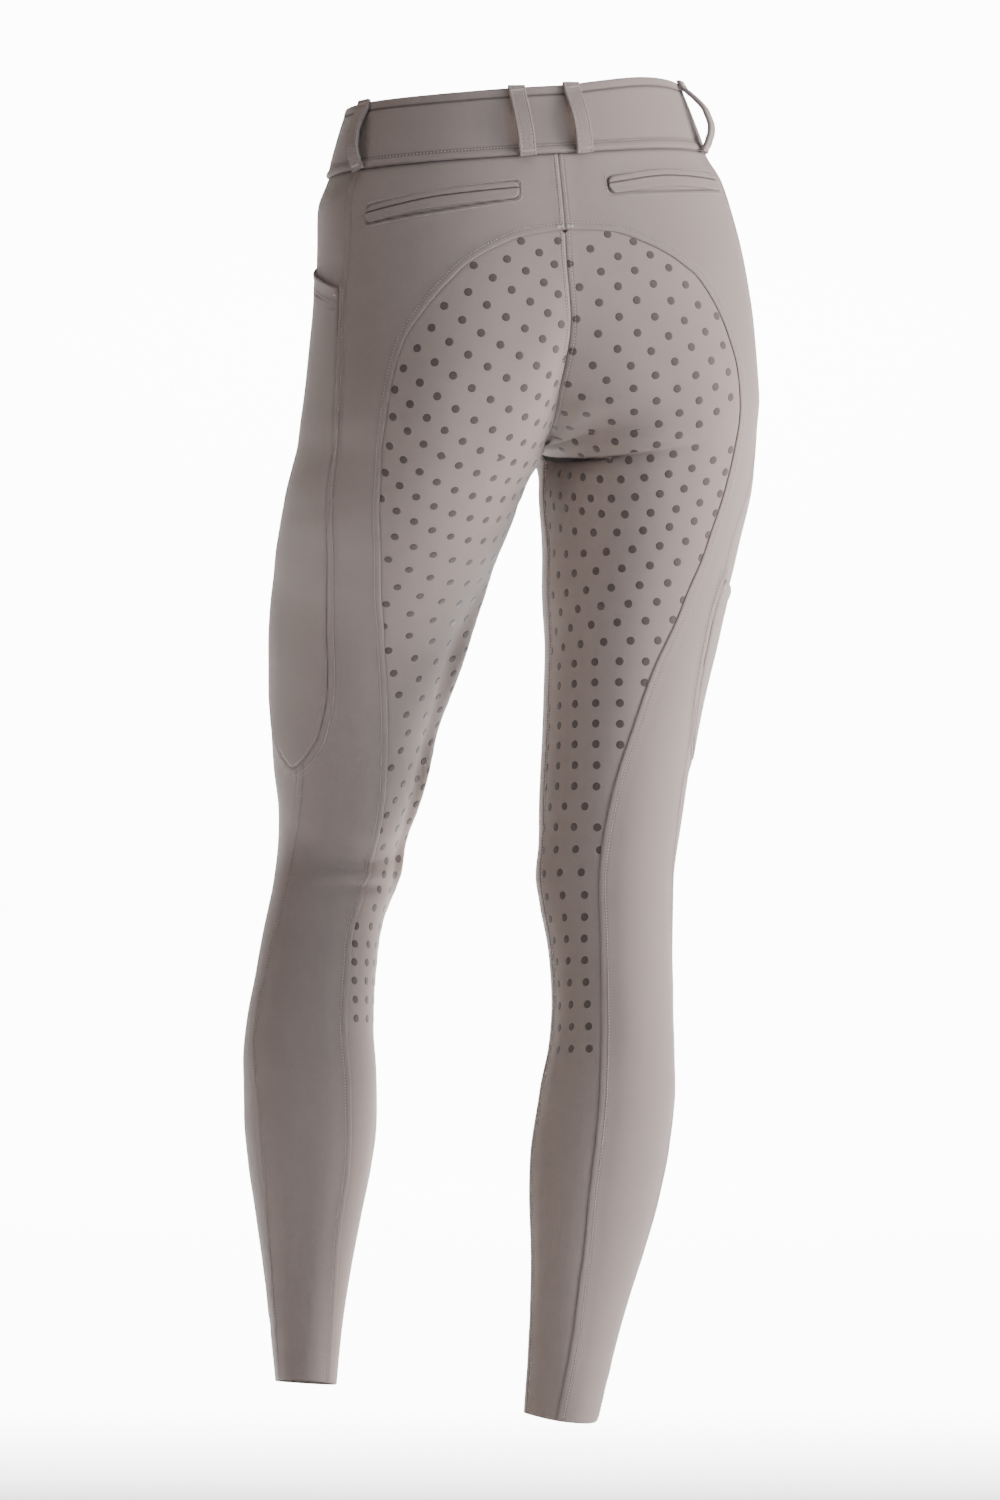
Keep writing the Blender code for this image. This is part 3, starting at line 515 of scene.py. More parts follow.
# ---- the form of the cloth ------------------------------------------------------------
@dataclass(frozen=True)
class ClothForm:
    """The worn garment as one hollow form: a ring at each level, folded, then posed."""

    rise: float = 256.0
    outseam: float = 979.0
    seam_gap: float = 0.3
    middle_reach: float = 0.25
    fold_start: float = 0.05
    pelvis_tilt: float = 4.0
    weight_shift: float = 11.0
    middle_blend: float = 25.0
    hip: tuple[float, float, float] = (88.0, 0.0, -165.0)
    knee: tuple[float, float, float] = (75.0, 0.0, -578.0)
    hip_bend: tuple[float, float] = (190.0, 400.0)
    knee_bend: tuple[float, float] = (540.0, 616.0)
    shift_bend: tuple[float, float] = (260.0, 420.0)
    calf_sets_in: tuple[float, float] = (700.0, 900.0)
    thigh_sets_in: tuple[float, float] = (265.0, 320.0)
    thigh_ends: tuple[float, float] = (500.0, 560.0)
    pocket_side: float = 105.0
    pocket_spread: float = 42.0
    pocket_sets_in: tuple[float, float] = (110.0, 250.0)
    pocket_ends: tuple[float, float] = (520.0, 590.0)
    hem_sets_in: tuple[float, float] = (900.0, 979.0)
    # Where the centre-back seam wanders: level, height, millimetres to the left and width.
    seam_drift: tuple[tuple[float, float, float, float], ...] = (
        (-218.0, 32.0, 7.0, 30.0), (-268.0, 18.0, -4.5, 30.0), (-72.0, 40.0, 2.0, 14.0),
        (-138.0, 40.0, 5.5, 14.0), (-205.0, 40.0, 4.0, 14.0))
    drift_blend: float = 25.0
    # How much higher the waist's edge stands over the back pocket.
    crown: dict[Side, float] = field(default_factory=lambda: {Side.LEFT: -0.9, Side.RIGHT: 5.6})
    crown_turn: float = 0.26
    crown_span: float = 0.16
    crown_height: float = 80.0
    # The step of the cloth under the seat, and the swell above it.
    step_edge: tuple[float, float] = (-1.0, 1.2)
    step_fade: float = 15.0
    swell: float = 0.4
    swell_above: float = 8.0
    swell_width: float = 7.0
    view_side: float = 16.0     # degrees from the side of the leg to where reach counts whole
    level_step: float = 0.4
    turn_step: float = 0.0008

    def middle_angles(self, level: Array) -> tuple[Array, Array]:
        """Finds where a ring meets the garment's middle.

        Args:
            level: levels in millimetres.

        Returns:
            The ring's angle at the centre back and at the centre front.
        """
        centre, half = ring_measure("centre_x", level), ring_measure("half_width", level)
        ratio = np.clip(centre / half, 0, 1)
        angles = []
        for name, sign in (("back", 1.0), ("front", -1.0)):
            power = ring_measure(name + "_round", level)
            reach = ring_measure(name, level) * (1 - ratio ** power) ** (1 / power)
            angle = np.arctan2(reach, -centre)
            angles.append(sign * np.where(level <= -self.rise, math.pi, angle))
        return angles[0], angles[1]

    def fold_depth(self, side: Side, level: Array, turn: Array) -> Array:
        """Adds up how far folds push the cloth in: each is a Gaussian across and along its line.

        Args:
            side: which half of the garment.
            level: levels in millimetres.
            turn: turns.

        Returns:
            The depth in millimetres.
        """
        depth = np.zeros(np.broadcast(level, turn).shape)
        for fold in FOLDS[side]:
            line = fold.level - fold.fall * (turn - fold.turn)
            across, along = (level - line) / fold.width, (turn - fold.turn) / fold.span
            depth = depth + fold.depth * np.exp(-across ** 2 - along ** 2)
        from_middle = np.minimum(np.abs(turn), np.abs(1 - turn))
        return depth * ease(0.0, self.fold_start, from_middle) + self.overhang(side, level, turn)

    def overhang(self, side: Side, level: Array, turn: Array) -> Array:
        """Steps the cloth in under the seat: a sharp step that dies away down the thigh.

        Args:
            side: which half of the garment.
            level: levels in millimetres.
            turn: turns.

        Returns:
            The depth in millimetres.
        """
        under = under_seat(side, "level", turn) - level
        step = ease(*self.step_edge, under) * np.exp(-np.maximum(under, 0) / self.step_fade)
        swell = self.swell * np.exp(-((under + self.swell_above) / self.swell_width) ** 2)
        return under_seat(side, "depth", turn) * (step - swell)

    def reach(self, side: Side, level: Array, turn: Array, angle: Array) -> Array:
        """Finds how much fuller the worn cloth is than its ring.

        The table's outer and inner columns each count as the squared cosine of the angle
        from the side of the leg that they stand for.

        Args:
            side: which half of the garment.
            level: levels in millimetres.
            turn: turns.
            angle: angles round the ring.

        Returns:
            Millimetres outwards.
        """
        total = np.zeros(np.broadcast(level, turn).shape)
        counts = {"_outer": ease(0.0, 0.12, np.minimum(turn, 1 - turn)),
                  "_inner": ease(self.rise + 2, self.rise + 18, -level)}
        for (name, share), faces in zip(counts.items(), (-self.view_side, 180 - self.view_side)):
            facing = np.maximum(np.cos(angle - side.sign * math.radians(faces)), 0) ** 2
            total = total + by_level(REACH, side.value + name, level) * facing * share
        return total

    def ring(self, side: Side, level: Array, turn: Array, apart: float) -> Array:
        """Gives the cloth before the pose, on the side of +X, as superellipse rings.

        Args:
            side: which half of the garment.
            level: levels in millimetres.
            turn: turns.
            apart: share of half the seam gap by which the halves stand apart.

        Returns:
            Points in millimetres.
        """
        full = FULLNESS[side]
        calf = full.calf_turned * ease(*self.calf_sets_in, -level)
        half = ring_measure("half_width", level) * (1 - calf)
        angle_back, angle_front = self.middle_angles(level)
        fan = np.radians(ring_measure("fan", level))
        at_back = 1 - ease(0, self.middle_reach, turn)
        at_front = 1 - ease(0, self.middle_reach, 1 - turn)
        angle = fan * (1 - 2 * turn) + (angle_back - fan) * at_back + (angle_front + fan) * at_front
        cosine, sine = np.cos(angle), np.sin(angle)
        behind = sine > 0
        depth, power = (np.where(behind, ring_measure("back" + kind, level),
                                 ring_measure("front" + kind, level)) for kind in ("", "_round"))
        depth = depth * (1 + calf)
        radius = (np.abs(cosine / half) ** power + np.abs(sine / depth) ** power) ** (-1 / power)
        thigh = ease(*self.thigh_sets_in, -level) * (1 - ease(*self.thigh_ends, -level))
        pocket = ease(*self.pocket_sets_in, -level) * (1 - ease(*self.pocket_ends, -level))
        from_back = 90 - np.degrees(angle)
        bulge = np.exp(-((from_back - self.pocket_side) / self.pocket_spread) ** 2)
        radius = radius * (1 + full.thigh * thigh) + full.pocket * pocket * bulge
        radius = radius + self.reach(side, level, turn, angle) - self.fold_depth(side, level, turn)
        x = ring_measure("centre_x", level) + radius * cosine + apart * self.seam_gap / 2
        y = ring_measure("centre_y", level) + radius * sine
        z = level - full.hem_dip * ease(*self.hem_sets_in, -level) * ((1 + sine) / 2) ** 2
        over_pocket = np.exp(-((turn - self.crown_turn) / self.crown_span) ** 2)
        crown = self.crown[side] * ease(0.0, 0.1, turn) * over_pocket
        z = z + crown * (1 - ease(0.0, self.crown_height, -level))
        return np.stack([x, y, z], -1)

    def posed(self, points: Array) -> Array:
        """Stands the garment: weight on the right leg, the left hip and knee bent.

        Args:
            points: places before the pose.

        Returns:
            The same places in the pose.
        """
        x, y, level = np.moveaxis(points, -1, 0)
        to_left = np.array([1.0, 0, 0])
        drift = sum(amount * np.exp(-((level - at) / span) ** 2 - (x / width) ** 2)
                    for at, span, amount, width in self.seam_drift)
        drift = drift * ease(-self.drift_blend, self.drift_blend, y)
        points = points + to_left * drift[..., None]
        shift = self.weight_shift * ease(*self.shift_bend, -level)
        points = points - to_left * shift[..., None]
        down = -points[..., 2]
        left_share = ease(-self.middle_blend, self.middle_blend, points[..., 0])
        result = np.zeros(points.shape)
        for side in Side:
            leg, sign = LEGS[side], side.sign
            mirror = np.array([sign, 1.0, 1.0])
            hip, knee = np.array(self.hip) * mirror, np.array(self.knee) * mirror
            bent, carried = ease(*self.knee_bend, down), ease(*self.hip_bend, down)
            moved = turn_about(points, "X", bent * leg.knee, knee)
            moved = turn_about(moved, "Y", sign * bent * leg.shank, knee)
            moved = turn_about(moved, "X", -carried * leg.flex, hip)
            moved = turn_about(moved, "Y", -sign * carried * leg.spread, hip)
            share = left_share if side is Side.LEFT else 1 - left_share
            result = result + moved * share[..., None]
        return turn_about(result, "Y", self.pelvis_tilt, np.zeros(3))

    def point(self, side: Side, level: Array, turn: Array, apart: float = 1.0) -> Array:
        """Returns places on the cloth's outer face, apart as in ring."""
        level, turn = np.broadcast_arrays(np.asarray(level, float), np.asarray(turn, float))
        return self.posed(self.ring(side, level, turn, apart) * np.array([side.sign, 1.0, 1.0]))

    def side_normal(self, side: Side, level: Array, turn: Array, apart: float) -> Array:
        """Finds the way out of one half's cloth, as the cross product of two small steps.

        Args:
            side: which half of the garment.
            level: levels in millimetres.
            turn: turns.
            apart: as in point.

        Returns:
            Unit vectors.
        """
        upper = np.where(np.abs(level + self.rise) < 1.0, level, level + self.level_step)
        above, under = (self.point(side, near, turn, apart)
                        for near in (upper, level - self.level_step))
        onward, backward = (self.point(side, level, turn + step, apart)
                            for step in (self.turn_step, -self.turn_step))
        return unit(np.cross(onward - backward, above - under) * -side.sign)

    def normal(self, side: Side, level: Array, turn: Array, apart: float = 1.0) -> Array:
        """Finds the way out of the cloth; both halves share it along the middle seams.

        Args:
            side: which half of the garment.
            level: levels in millimetres.
            turn: turns.
            apart: as in point.

        Returns:
            Unit vectors.
        """
        level, turn = np.broadcast_arrays(np.asarray(level, float), np.asarray(turn, float))
        own = self.side_normal(side, level, turn, apart)
        middle = (1 - ease(0.0, 0.02, np.minimum(turn, 1 - turn))) * (level >= -self.rise - 0.5)
        if not (middle > 0).any():
            return own
        facing = self.side_normal(side.other, level, turn, apart)
        return unit(own + facing * middle[..., None])

    def ring_length(self, side: Side, level: Array) -> Array:
        """Returns the cloth's length from turn 0 to turn 1 at each level."""
        turn = np.linspace(0, 1, RING_POINTS)
        ring = self.ring(side, np.atleast_1d(level)[:, None], turn[None, :], 0.0)
        return np.linalg.norm(np.diff(ring, axis=1), axis=2).sum(axis=1)


FORM = ClothForm()


class FlatCloth:
    """One half's cloth laid flat: x is measured along its ring, out from the middle plane."""

    def __init__(self, side: Side) -> None:
        """Tabulates the flat x of a grid of places.

        Args:
            side: which half of the garment.
        """
        self.levels = -np.linspace(0, FORM.outseam, FLAT_LEVELS)
        self.turns = np.linspace(0, 1, FLAT_TURNS)
        ring = FORM.ring(side, self.levels[:, None], self.turns[None, :], 0.0)
        steps = np.linalg.norm(np.diff(ring[..., :2], axis=1), axis=2)
        arc = np.concatenate([np.zeros((len(self.levels), 1)), np.cumsum(steps, axis=1)], axis=1)
        centre_x = ring_measure("centre_x", self.levels)[:, None]
        past = np.argmax(ring[..., 0] >= centre_x - 1e-6, axis=1)
        rows = np.arange(len(self.levels))
        before = np.maximum(past - 1, 0)
        gap = ring[rows, past, 0] - ring[rows, before, 0]
        short = centre_x[:, 0] - ring[rows, before, 0]
        part = np.where(gap > 1e-6, short / np.maximum(gap, 1e-6), 0.0)
        back_line = arc[rows, before] + part * (arc[rows, past] - arc[rows, before])
        self.across = arc - back_line[:, None] + centre_x

    def _row(self, level: Array) -> tuple[Array, Array]:
        """Returns the table row above each level and the share of the next one."""
        count = len(self.levels)
        place = np.clip(-level / (FORM.outseam / (count - 1)), 0, count - 1.001)
        return place.astype(int), place - place.astype(int)

    def x(self, level: Array, turn: Array) -> Array:
        """Reads the flat x of places by straight lines between the table's entries.

        Args:
            level: levels in millimetres.
            turn: turns.

        Returns:
            Flat x in millimetres.
        """
        row, share = self._row(level)
        place = np.clip(turn * (len(self.turns) - 1), 0, len(self.turns) - 1.001)
        index, part = place.astype(int), place - place.astype(int)
        upper, lower = (self.across[at, index] * (1 - part) + self.across[at, index + 1] * part
                        for at in (row, row + 1))
        return upper * (1 - share) + lower * share

    def turn(self, level: Array, x: Array) -> Array:
        """Finds the turn at which the cloth has a flat x.

        Args:
            level: levels in millimetres, one axis.
            x: flat x of each.

        Returns:
            Turns; under 0 or over 1 where the cloth doesn't reach.
        """
        row, share = self._row(level)
        table = self.across[row] * (1 - share)[:, None] + self.across[row + 1] * share[:, None]
        index = np.clip((table <= x[:, None]).sum(axis=1) - 1, 0, len(self.turns) - 2)
        rows = np.arange(len(x))
        start, end = table[rows, index], table[rows, index + 1]
        return (index + (x - start) / (end - start)) / (len(self.turns) - 1)


FLAT = {side: FlatCloth(side) for side in Side}


# ---- lines on the cloth ---------------------------------------------------------------
@dataclass(frozen=True)
class Line:
    """A line on one half's cloth, from its start to its end."""

    side: Side
    level: Array
    turn: Array

    def along(self) -> Array:
        """Returns how far along the worn cloth each of the line's points lies."""
        return travelled(FORM.point(self.side, self.level, self.turn))

    def stepped(self, at: Array) -> "Line":
        """Returns the line's points at given distances from its start."""
        along = self.along()
        return Line(self.side, np.interp(at, along, self.level), np.interp(at, along, self.turn))

    def kept(self, chosen: Any) -> "Line":
        """Returns the line's points that a mask or a slice chooses."""
        return Line(self.side, self.level[chosen], self.turn[chosen])

    def then(self, other: "Line") -> "Line":
        """Returns this line without its last point, followed by another line."""
        return Line(self.side, np.concatenate([self.level[:-1], other.level]),
                    np.concatenate([self.turn[:-1], other.turn]))

    def beside(self, shift: float) -> "Line":
        """Moves the line sideways along the cloth.

        Args:
            shift: how far in millimetres; over 0 goes towards higher turns where the line
                goes down, and up where the line goes from back to front.

        Returns:
            The moved line.
        """
        length = FORM.ring_length(self.side, self.level)
        across, down = np.gradient(self.turn) * length, np.gradient(self.level)
        step = np.maximum(np.hypot(across, down), 1e-9)
        level = self.level + shift * across / step
        return Line(self.side, level, self.turn - shift * down / step / length)

    def evenly(self, spacing: float) -> "Line":
        """Returns the same line with points about spacing millimetres apart."""
        length = self.along()[-1]
        return self.stepped(np.linspace(0, length, max(2, int(round(length / spacing)) + 1)))

    def part(self, start: float, end: float) -> "Line":
        """Cuts the stretch between two distances from the line's start.

        Args:
            start: first distance in millimetres.
            end: last distance, or from the line's end where it is under or at 0.

        Returns:
            The stretch, in points about 2 mm apart.
        """
        length = self.along()[-1]
        last = length + end if end <= 0 else min(end, length)
        return self.stepped(np.linspace(start, last, max(2, int((last - start) / 2))))

    def trace(self, apart: float = 0.0) -> "Trace":
        """Returns the line in space, closely stepped."""
        fine = self.evenly(TRACE_STEP)
        return Trace(FORM.point(self.side, fine.level, fine.turn, apart))


def straight(first: Line, second: Line, number: int, count: int) -> Line:
    """Runs straight from a point of one line to the point with the same number of another.

    Args:
        first: where it starts.
        second: where it ends.
        number: the points' number.
        count: how many points the straight line has.

    Returns:
        The straight line.
    """
    share = np.linspace(0, 1, count)
    pairs = (first.level, second.level), (first.turn, second.turn)
    return Line(first.side, *(start[number] + (end[number] - start[number]) * share
                              for start, end in pairs))


class Trace:
    """A line in space that distances are measured from."""

    def __init__(self, points: Array) -> None:
        """Keeps the line's closely stepped points and how far along it they lie."""
        self.points = points
        self.along = travelled(points)

    def measure(self, places: Array) -> tuple[Array, Array]:
        """Measures how far places are from the line: to the nearest of its straight steps.

        Args:
            places: points in millimetres, last axis xyz.

        Returns:
            Each place's distance, and how far along the line its nearest point lies.
        """
        flat = places.reshape(-1, 3)
        squares = (self.points ** 2).sum(axis=1)
        nearest = [np.argmin(squares[None, :] - 2 * chunk @ self.points.T, axis=1)
                   for chunk in np.array_split(flat, max(1, len(flat) // CHUNK))]
        nearest = np.concatenate(nearest)
        best, along = np.full(len(flat), np.inf), np.zeros(len(flat))
        for offset in (-1, 0):
            start = np.clip(nearest + offset, 0, len(self.points) - 2)
            first, step = self.points[start], self.points[start + 1] - self.points[start]
            square = (step ** 2).sum(axis=1)
            share = np.clip(((flat - first) * step).sum(axis=1) / square, 0, 1)
            distance = np.linalg.norm(flat - first - step * share[:, None], axis=1)
            closer = distance < best
            best = np.where(closer, distance, best)
            along = np.where(closer, self.along[start] + share * np.sqrt(square), along)
        return best.reshape(places.shape[:-1]), along.reshape(places.shape[:-1])


@dataclass(frozen=True)
class SeamPlan:
    """Where the panels of one half meet, as lines stepped for their grids.

    The rows of a panel's grid run from a point on one of its edge lines to the point with
    the same number on the other, so the lines of one panel have equally many points.
    """

    side: Side
    row_step: float = 3.0
    band_edge: float = -49.5
    half_gap: float = -0.03     # half the gap between panels: under 0, so they just overlap
    corner_offsets: tuple[float, ...] = (0.4, 0.9, 1.5, 2.3, 3.2, 4.3, 5.6, 7.2, 9.5, 12.5)
    hem_offsets: tuple[float, ...] = (2.0, 1.0, 0.4)
    fine_levels: tuple[float, float] = (-257.0, -283.0)     # rows 1 mm apart, under the seat

    def leg_levels(self) -> Array:
        """Lays out the rows from the crotch to the hem.

        Returns:
            Their levels.
        """
        count = int(round((FORM.outseam - FORM.rise) / self.row_step))
        even = np.linspace(-FORM.rise, -FORM.outseam, count + 1)
        top, foot = self.fine_levels
        even = np.concatenate([even[:1], np.arange(top, foot, -1.0), even[even < foot - 1]])
        hem = -FORM.outseam + np.array(self.hem_offsets)
        return np.concatenate([even[:-1][even[:-1] > -FORM.outseam + 2.6], hem, even[-1:]])

    def count(self, length: float) -> int:
        """Returns how many rows fit in a length."""
        return max(4, int(round(length / self.row_step)))

    def middle(self, name: Middle, start: float, rows: int) -> Line:
        """Steps the centre seam evenly along its curve, down to the crotch.

        Args:
            name: at the back or at the front.
            start: the level where it begins.
            rows: how many steps.

        Returns:
            The line, half a gap in from the middle.
        """
        fine = np.linspace(start, -FORM.rise, 400)
        curve = FORM.ring(self.side, fine, np.full(fine.shape, name.value), 0.0)
        along = travelled(curve)
        level = np.interp(np.linspace(0, along[-1], rows + 1), along, fine)
        return self.inset(name, level)

    def inset(self, name: Middle, level: Array) -> Line:
        """Returns the middle line at given levels, half a gap in from the middle."""
        gap = self.half_gap / FORM.ring_length(self.side, level)
        return Line(self.side, level, gap if name is Middle.BACK else 1 - gap)

    def arch(self) -> Line:
        """Draws the seat seam from the centre back across to where it turns down.

        Returns:
            The line.
        """
        level, turn = column(ARCH, "level"), column(ARCH, self.side.value)
        length = FORM.ring_length(self.side, level).mean()
        step = np.hypot(np.diff(level), np.diff(turn) * length)
        along = np.concatenate([[0.0], np.cumsum(step)])
        at = np.linspace(0, along[-1], self.count(along[-1]) + 1)
        return Line(self.side, follow(along, level, at), follow(along, turn, at))

    def seat_seam(self) -> Line:
        """Draws the whole seat seam, from the centre back to the hem.

        Returns:
            The line.
        """
        count = self.count(ARCH_LEVEL + FORM.rise)
        down = np.linspace(ARCH_LEVEL, -FORM.rise, count, endpoint=False)
        level = np.concatenate([down, self.leg_levels()])
        return self.arch().then(Line(self.side, level, by_level(SEAT_SEAM, self.side.value, level)))

    def band_line(self, first: float, last: float) -> Line:
        """Returns the line under the waistband between two turns."""
        return Line(self.side, np.full(60, self.band_edge), np.linspace(first, last, 60))

    def side_seam(self, level: Array) -> Line:
        """Returns the side seam at given levels."""
        return Line(self.side, level, by_level(SIDE_SEAM, self.side.value, level))

    def seat_edges(self) -> tuple[Line, Line]:
        """Gives the seat panel's middle edge and its edge at the seat seam.

        Returns:
            Two lines with equally many points.
        """
        seam = self.seat_seam()
        upper = len(seam.level) - len(self.leg_levels())
        top = SEAT_SEAM[0].level - self.half_gap
        middle = self.middle(Middle.BACK, top, upper)
        inner = middle.then(self.inset(Middle.BACK, self.leg_levels()))
        return inner.kept(slice(1, None)), seam.beside(-self.half_gap).kept(slice(1, None))

    def outer_back_edges(self) -> tuple[Line, Line]:
        """Gives the outer back panel's inner edge and its edge at the side seam.

        The inner edge goes down the centre back, then along the seat seam.

        Returns:
            Two lines with equally many points.
        """
        seam = self.seat_seam().beside(self.half_gap)
        top, corner = self.band_edge, seam.level[0]
        depth = top - corner
        near = np.array([offset for offset in self.corner_offsets if offset < depth / 2])[::-1]
        even = np.linspace(top, corner + near[0], 2 * self.count(depth - near[0]) + 1)[:-1]
        down = np.concatenate([even, corner + near])
        centre = self.inset(Middle.BACK, down)
        inner_level = np.concatenate([down, seam.level])
        inner_turn = np.concatenate([centre.turn, seam.turn])
        arch_end = len(self.arch().level) - 1
        share = np.linspace(0, 1, len(down) + arch_end + 1)[:-1]
        side_level = np.concatenate([top + (seam.level[arch_end] - top) * share,
                                     seam.level[arch_end:]])
        side_level[-1] = -FORM.outseam
        return (Line(self.side, inner_level, inner_turn),
                self.side_seam(side_level).beside(-self.half_gap))

    def front_edges(self) -> tuple[Line, Line]:
        """Gives the front panel's edge at the side seam and its middle edge.

        Returns:
            Two lines with equally many points.
        """
        rows = self.count(-self.band_edge + FORM.rise - 90)
        upper = np.linspace(self.band_edge, -FORM.rise, rows + 1)
        side = self.side_seam(np.concatenate([upper[:-1], self.leg_levels()]))
        middle = self.middle(Middle.FRONT, self.band_edge, rows)
        low = self.inset(Middle.FRONT, self.leg_levels())
        return side.beside(self.half_gap), middle.then(low)


# ---- relief: what sewing does to the cloth's face -------------------------------------
@dataclass(frozen=True)
class Profile:
    """Heights of the cloth's face at distances from a seam, with the pucker of its sewing and its
    painted shade.
    """

    distances: tuple[float, ...]
    heights: tuple[float, ...]
    sewn_at: float = 0.0
    pucker: float = 0.0
    # Painted shade: its width and darkness at the seam, and its darkness along the row of stitches.
    shade_width: float = 1.0
    shade: float = 1.0
    groove: float = 0.0

    def height(self, distance: Array, along: Array) -> Array:
        """Follows the profile, plus a ripple along the seam that fades with distance.

        The ripple is three sines with unlike wavelengths, times a Gaussian round the row
        of stitches.

        Args:
            distance: distance from the seam.
            along: distance along the seam.

        Returns:
            Heights in millimetres.
        """
        reach = self.distances[-1]
        height = follow(self.distances, self.heights, np.clip(distance, 0, reach))
        if self.pucker:
            ripple = (0.5 * np.sin(along / 1.45) + 0.35 * np.sin(along / 0.93 + 1.3)
                      + 0.45 * np.sin(along / 2.7 + 0.7))
            height = height + self.pucker * ripple * np.exp(-((distance - self.sewn_at) / 3.0) ** 2)
        return height

    def painted_shade(self, distance: Array) -> Array:
        """Returns the painted shade in the crease and along the row of stitches: a Gaussian round
        each.
        """
        crease = self.shade * np.exp(-(distance / self.shade_width) ** 2)
        return np.maximum(crease, self.groove * np.exp(-((distance - self.sewn_at) / 0.9) ** 2))


@dataclass(frozen=True)
class SeamRelief:
    """A seam's line in space, its profile, and an outline inside which nothing is raised."""

    trace: Trace
    profile: Profile
    outline: Line | None = None


class Relief:
    """The relief of one piece: the profiles of its seams added up."""

    def __init__(self, *seams: SeamRelief) -> None:
        """Keeps the seams that cross or bound the piece."""
        self.seams = seams

    def measure(self, places: Array, level: Array, turn: Array) -> tuple[Array, Array]:
        """Adds up the profiles at places on the bare cloth.

        Args:
            places: points in millimetres.
            level: their levels.
            turn: their turns.

        Returns:
            The face's height and its painted shade there.
        """
        height, shade = np.zeros(places.shape[:-1]), np.zeros(places.shape[:-1])
        for seam in self.seams:
            distance, along = seam.trace.measure(places)
            raised, dark = seam.profile.height(distance, along), seam.profile.painted_shade(distance)
            if seam.outline is not None:
                open_cloth = ~inside_outline(level, turn, seam.outline.level, seam.outline.turn)
                raised = raised * open_cloth
            height = height + raised
            shade = np.maximum(shade, dark)
        return height, shade


# After the heights: where the row of stitches lies, its pucker, then painted shade: its width, its
# darkness at the seam, and along the row of stitches.
LAPPED = Profile((0, 0.5, 1.2, 3.0, 4.2, 4.9, 5.8, 8.0, 11.0),
                 (0.45, 0.80, 0.95, 0.85, 0.60, 0.34, 0.42, 0.16, 0.0), 4.9, 0.07, 0.45, 0.15, 0.2)
TUCKED = Profile((0, 0.6, 1.6, 3.0, 5.0), (-0.3, -0.22, -0.1, -0.03, 0.0), 0, 0.0, 0.5, 0.3)
SIDE_LAP = Profile((0, 0.5, 1.2, 4.6, 5.6, 6.3, 7.2, 9.0, 12.0),
                   (0.3, 0.55, 0.66, 0.58, 0.44, 0.22, 0.28, 0.12, 0.0), 6.0, 0.06, 0.45, 0.15, 0.2)
CENTRE_BACK = Profile((0, 0.5, 1.3, 2.2, 3.3, 4.4, 6.5, 9.5),
                      (-0.2, 0.05, 0.34, 0.38, 0.05, 0.26, 0.12, 0.0), 3.3, 0.1, 0.5, 0.25, 0.2)
INSEAM = Profile((0, 0.6, 1.4, 2.6, 3.6, 4.6, 7.0), (-0.5, -0.1, 0.22, 0.18, 0.02, 0.08, 0.0),
                 3.4, 0.06, 0.6, 0.8, 0.3)
CENTRE_FRONT = Profile((0, 0.5, 1.3, 2.2, 3.2, 4.2, 7.0),
                       (-0.5, -0.15, 0.20, 0.22, 0.02, 0.14, 0.0), 3.2, 0.06, 0.6, 0.8, 0.35)
SIDE_TUCK = Profile((0, 0.6, 1.6, 3.0), (-0.3, -0.2, -0.06, 0.0), 0, 0.0, 0.7, 0.45)
UNDER_BAND = Profile((0, 1.0, 2.5, 5.0), (-0.5, -0.35, -0.1, 0.0), 0, 0.0, 1.8, 0.9)
HEM = Profile((0, 0.5, 1.2, 2.5, 5.0), (-0.42, -0.08, 0.06, 0.02, 0.0), 0, 0.0, 0.4, 0.3)
POCKET_BAND = Profile((0, 0.8, 1.8, 4.6, 5.6, 6.4, 7.4, 10.0),
                      (0.72, 0.92, 1.02, 0.95, 0.80, 0.48, 0.42, 0.0), 6.2, 0.06, 0.6, 0.35, 0.25)
WELT_RING = Profile((0, 1.2, 2.2, 3.4, 5.0), (-0.3, 0.0, 0.12, 0.1, 0.0), 2.4, 0.04, 0.9, 0.8, 0.0)


# ---- meshes ---------------------------------------------------------------------------
# Painted shade on the inner face of each closed wall, which lies in shadow inside the garment.
INNER_SHADE = 0.25      # how dark the cloth is inside and behind


class MeshData(NamedTuple):
    """Points in millimetres, faces as rows of numbers, and what is kept at each point."""

    points: Array
    faces: list[Array]
    cloth_uv: Array | None = None
    shade: Array | None = None


def grid_faces(rows: int, columns: int, start: int = 0, closed: bool = False) -> Array:
    """Numbers the quads of a grid of points.

    Args:
        rows: points down.
        columns: points across.
        start: number of the first point.
        closed: whether the last column joins the first.

    Returns:
        Four numbers for each quad.
    """
    index = start + np.arange(rows * columns).reshape(rows, columns)
    if closed:
        index = np.concatenate([index, index[:, :1]], axis=1)
    quads = np.stack([index[:-1, :-1], index[:-1, 1:], index[1:, 1:], index[1:, :-1]], axis=-1)
    return quads.reshape(-1, 4)


def rim_faces(rows: int, columns: int) -> Array:
    """Joins the border of an outer grid to the border of the inner grid numbered after it.

    Args:
        rows: points down.
        columns: points across.

    Returns:
        Four numbers for each quad of the rim.
    """
    index = np.arange(rows * columns).reshape(rows, columns)
    loop = np.concatenate([index[0, :-1], index[:-1, -1], index[-1, :0:-1], index[:0:-1, 0]])
    following = np.roll(loop, -1)
    count = rows * columns
    return np.stack([following, loop, loop + count, following + count], axis=-1)


def ring_faces(sides: int, bands: int) -> Array:
    """Numbers the quads between rings of points that follow a first point.

    Args:
        sides: points in a ring.
        bands: how many rings of quads.

    Returns:
        Four numbers for each quad.
    """
    index = 1 + np.arange(sides)
    following = np.roll(index, -1)
    quads = np.stack([index, index + sides, following + sides, following], 1)
    return np.concatenate([quads + band * sides for band in range(bands)])


def repeated(blocks: Sequence[Array], count: int, size: int) -> list[Array]:
    """Returns the faces of count alike pieces of size points, from one piece's faces."""
    starts = (np.arange(count) * size)[:, None, None]
    return [(starts + block[None]).reshape(-1, block.shape[1]) for block in blocks]


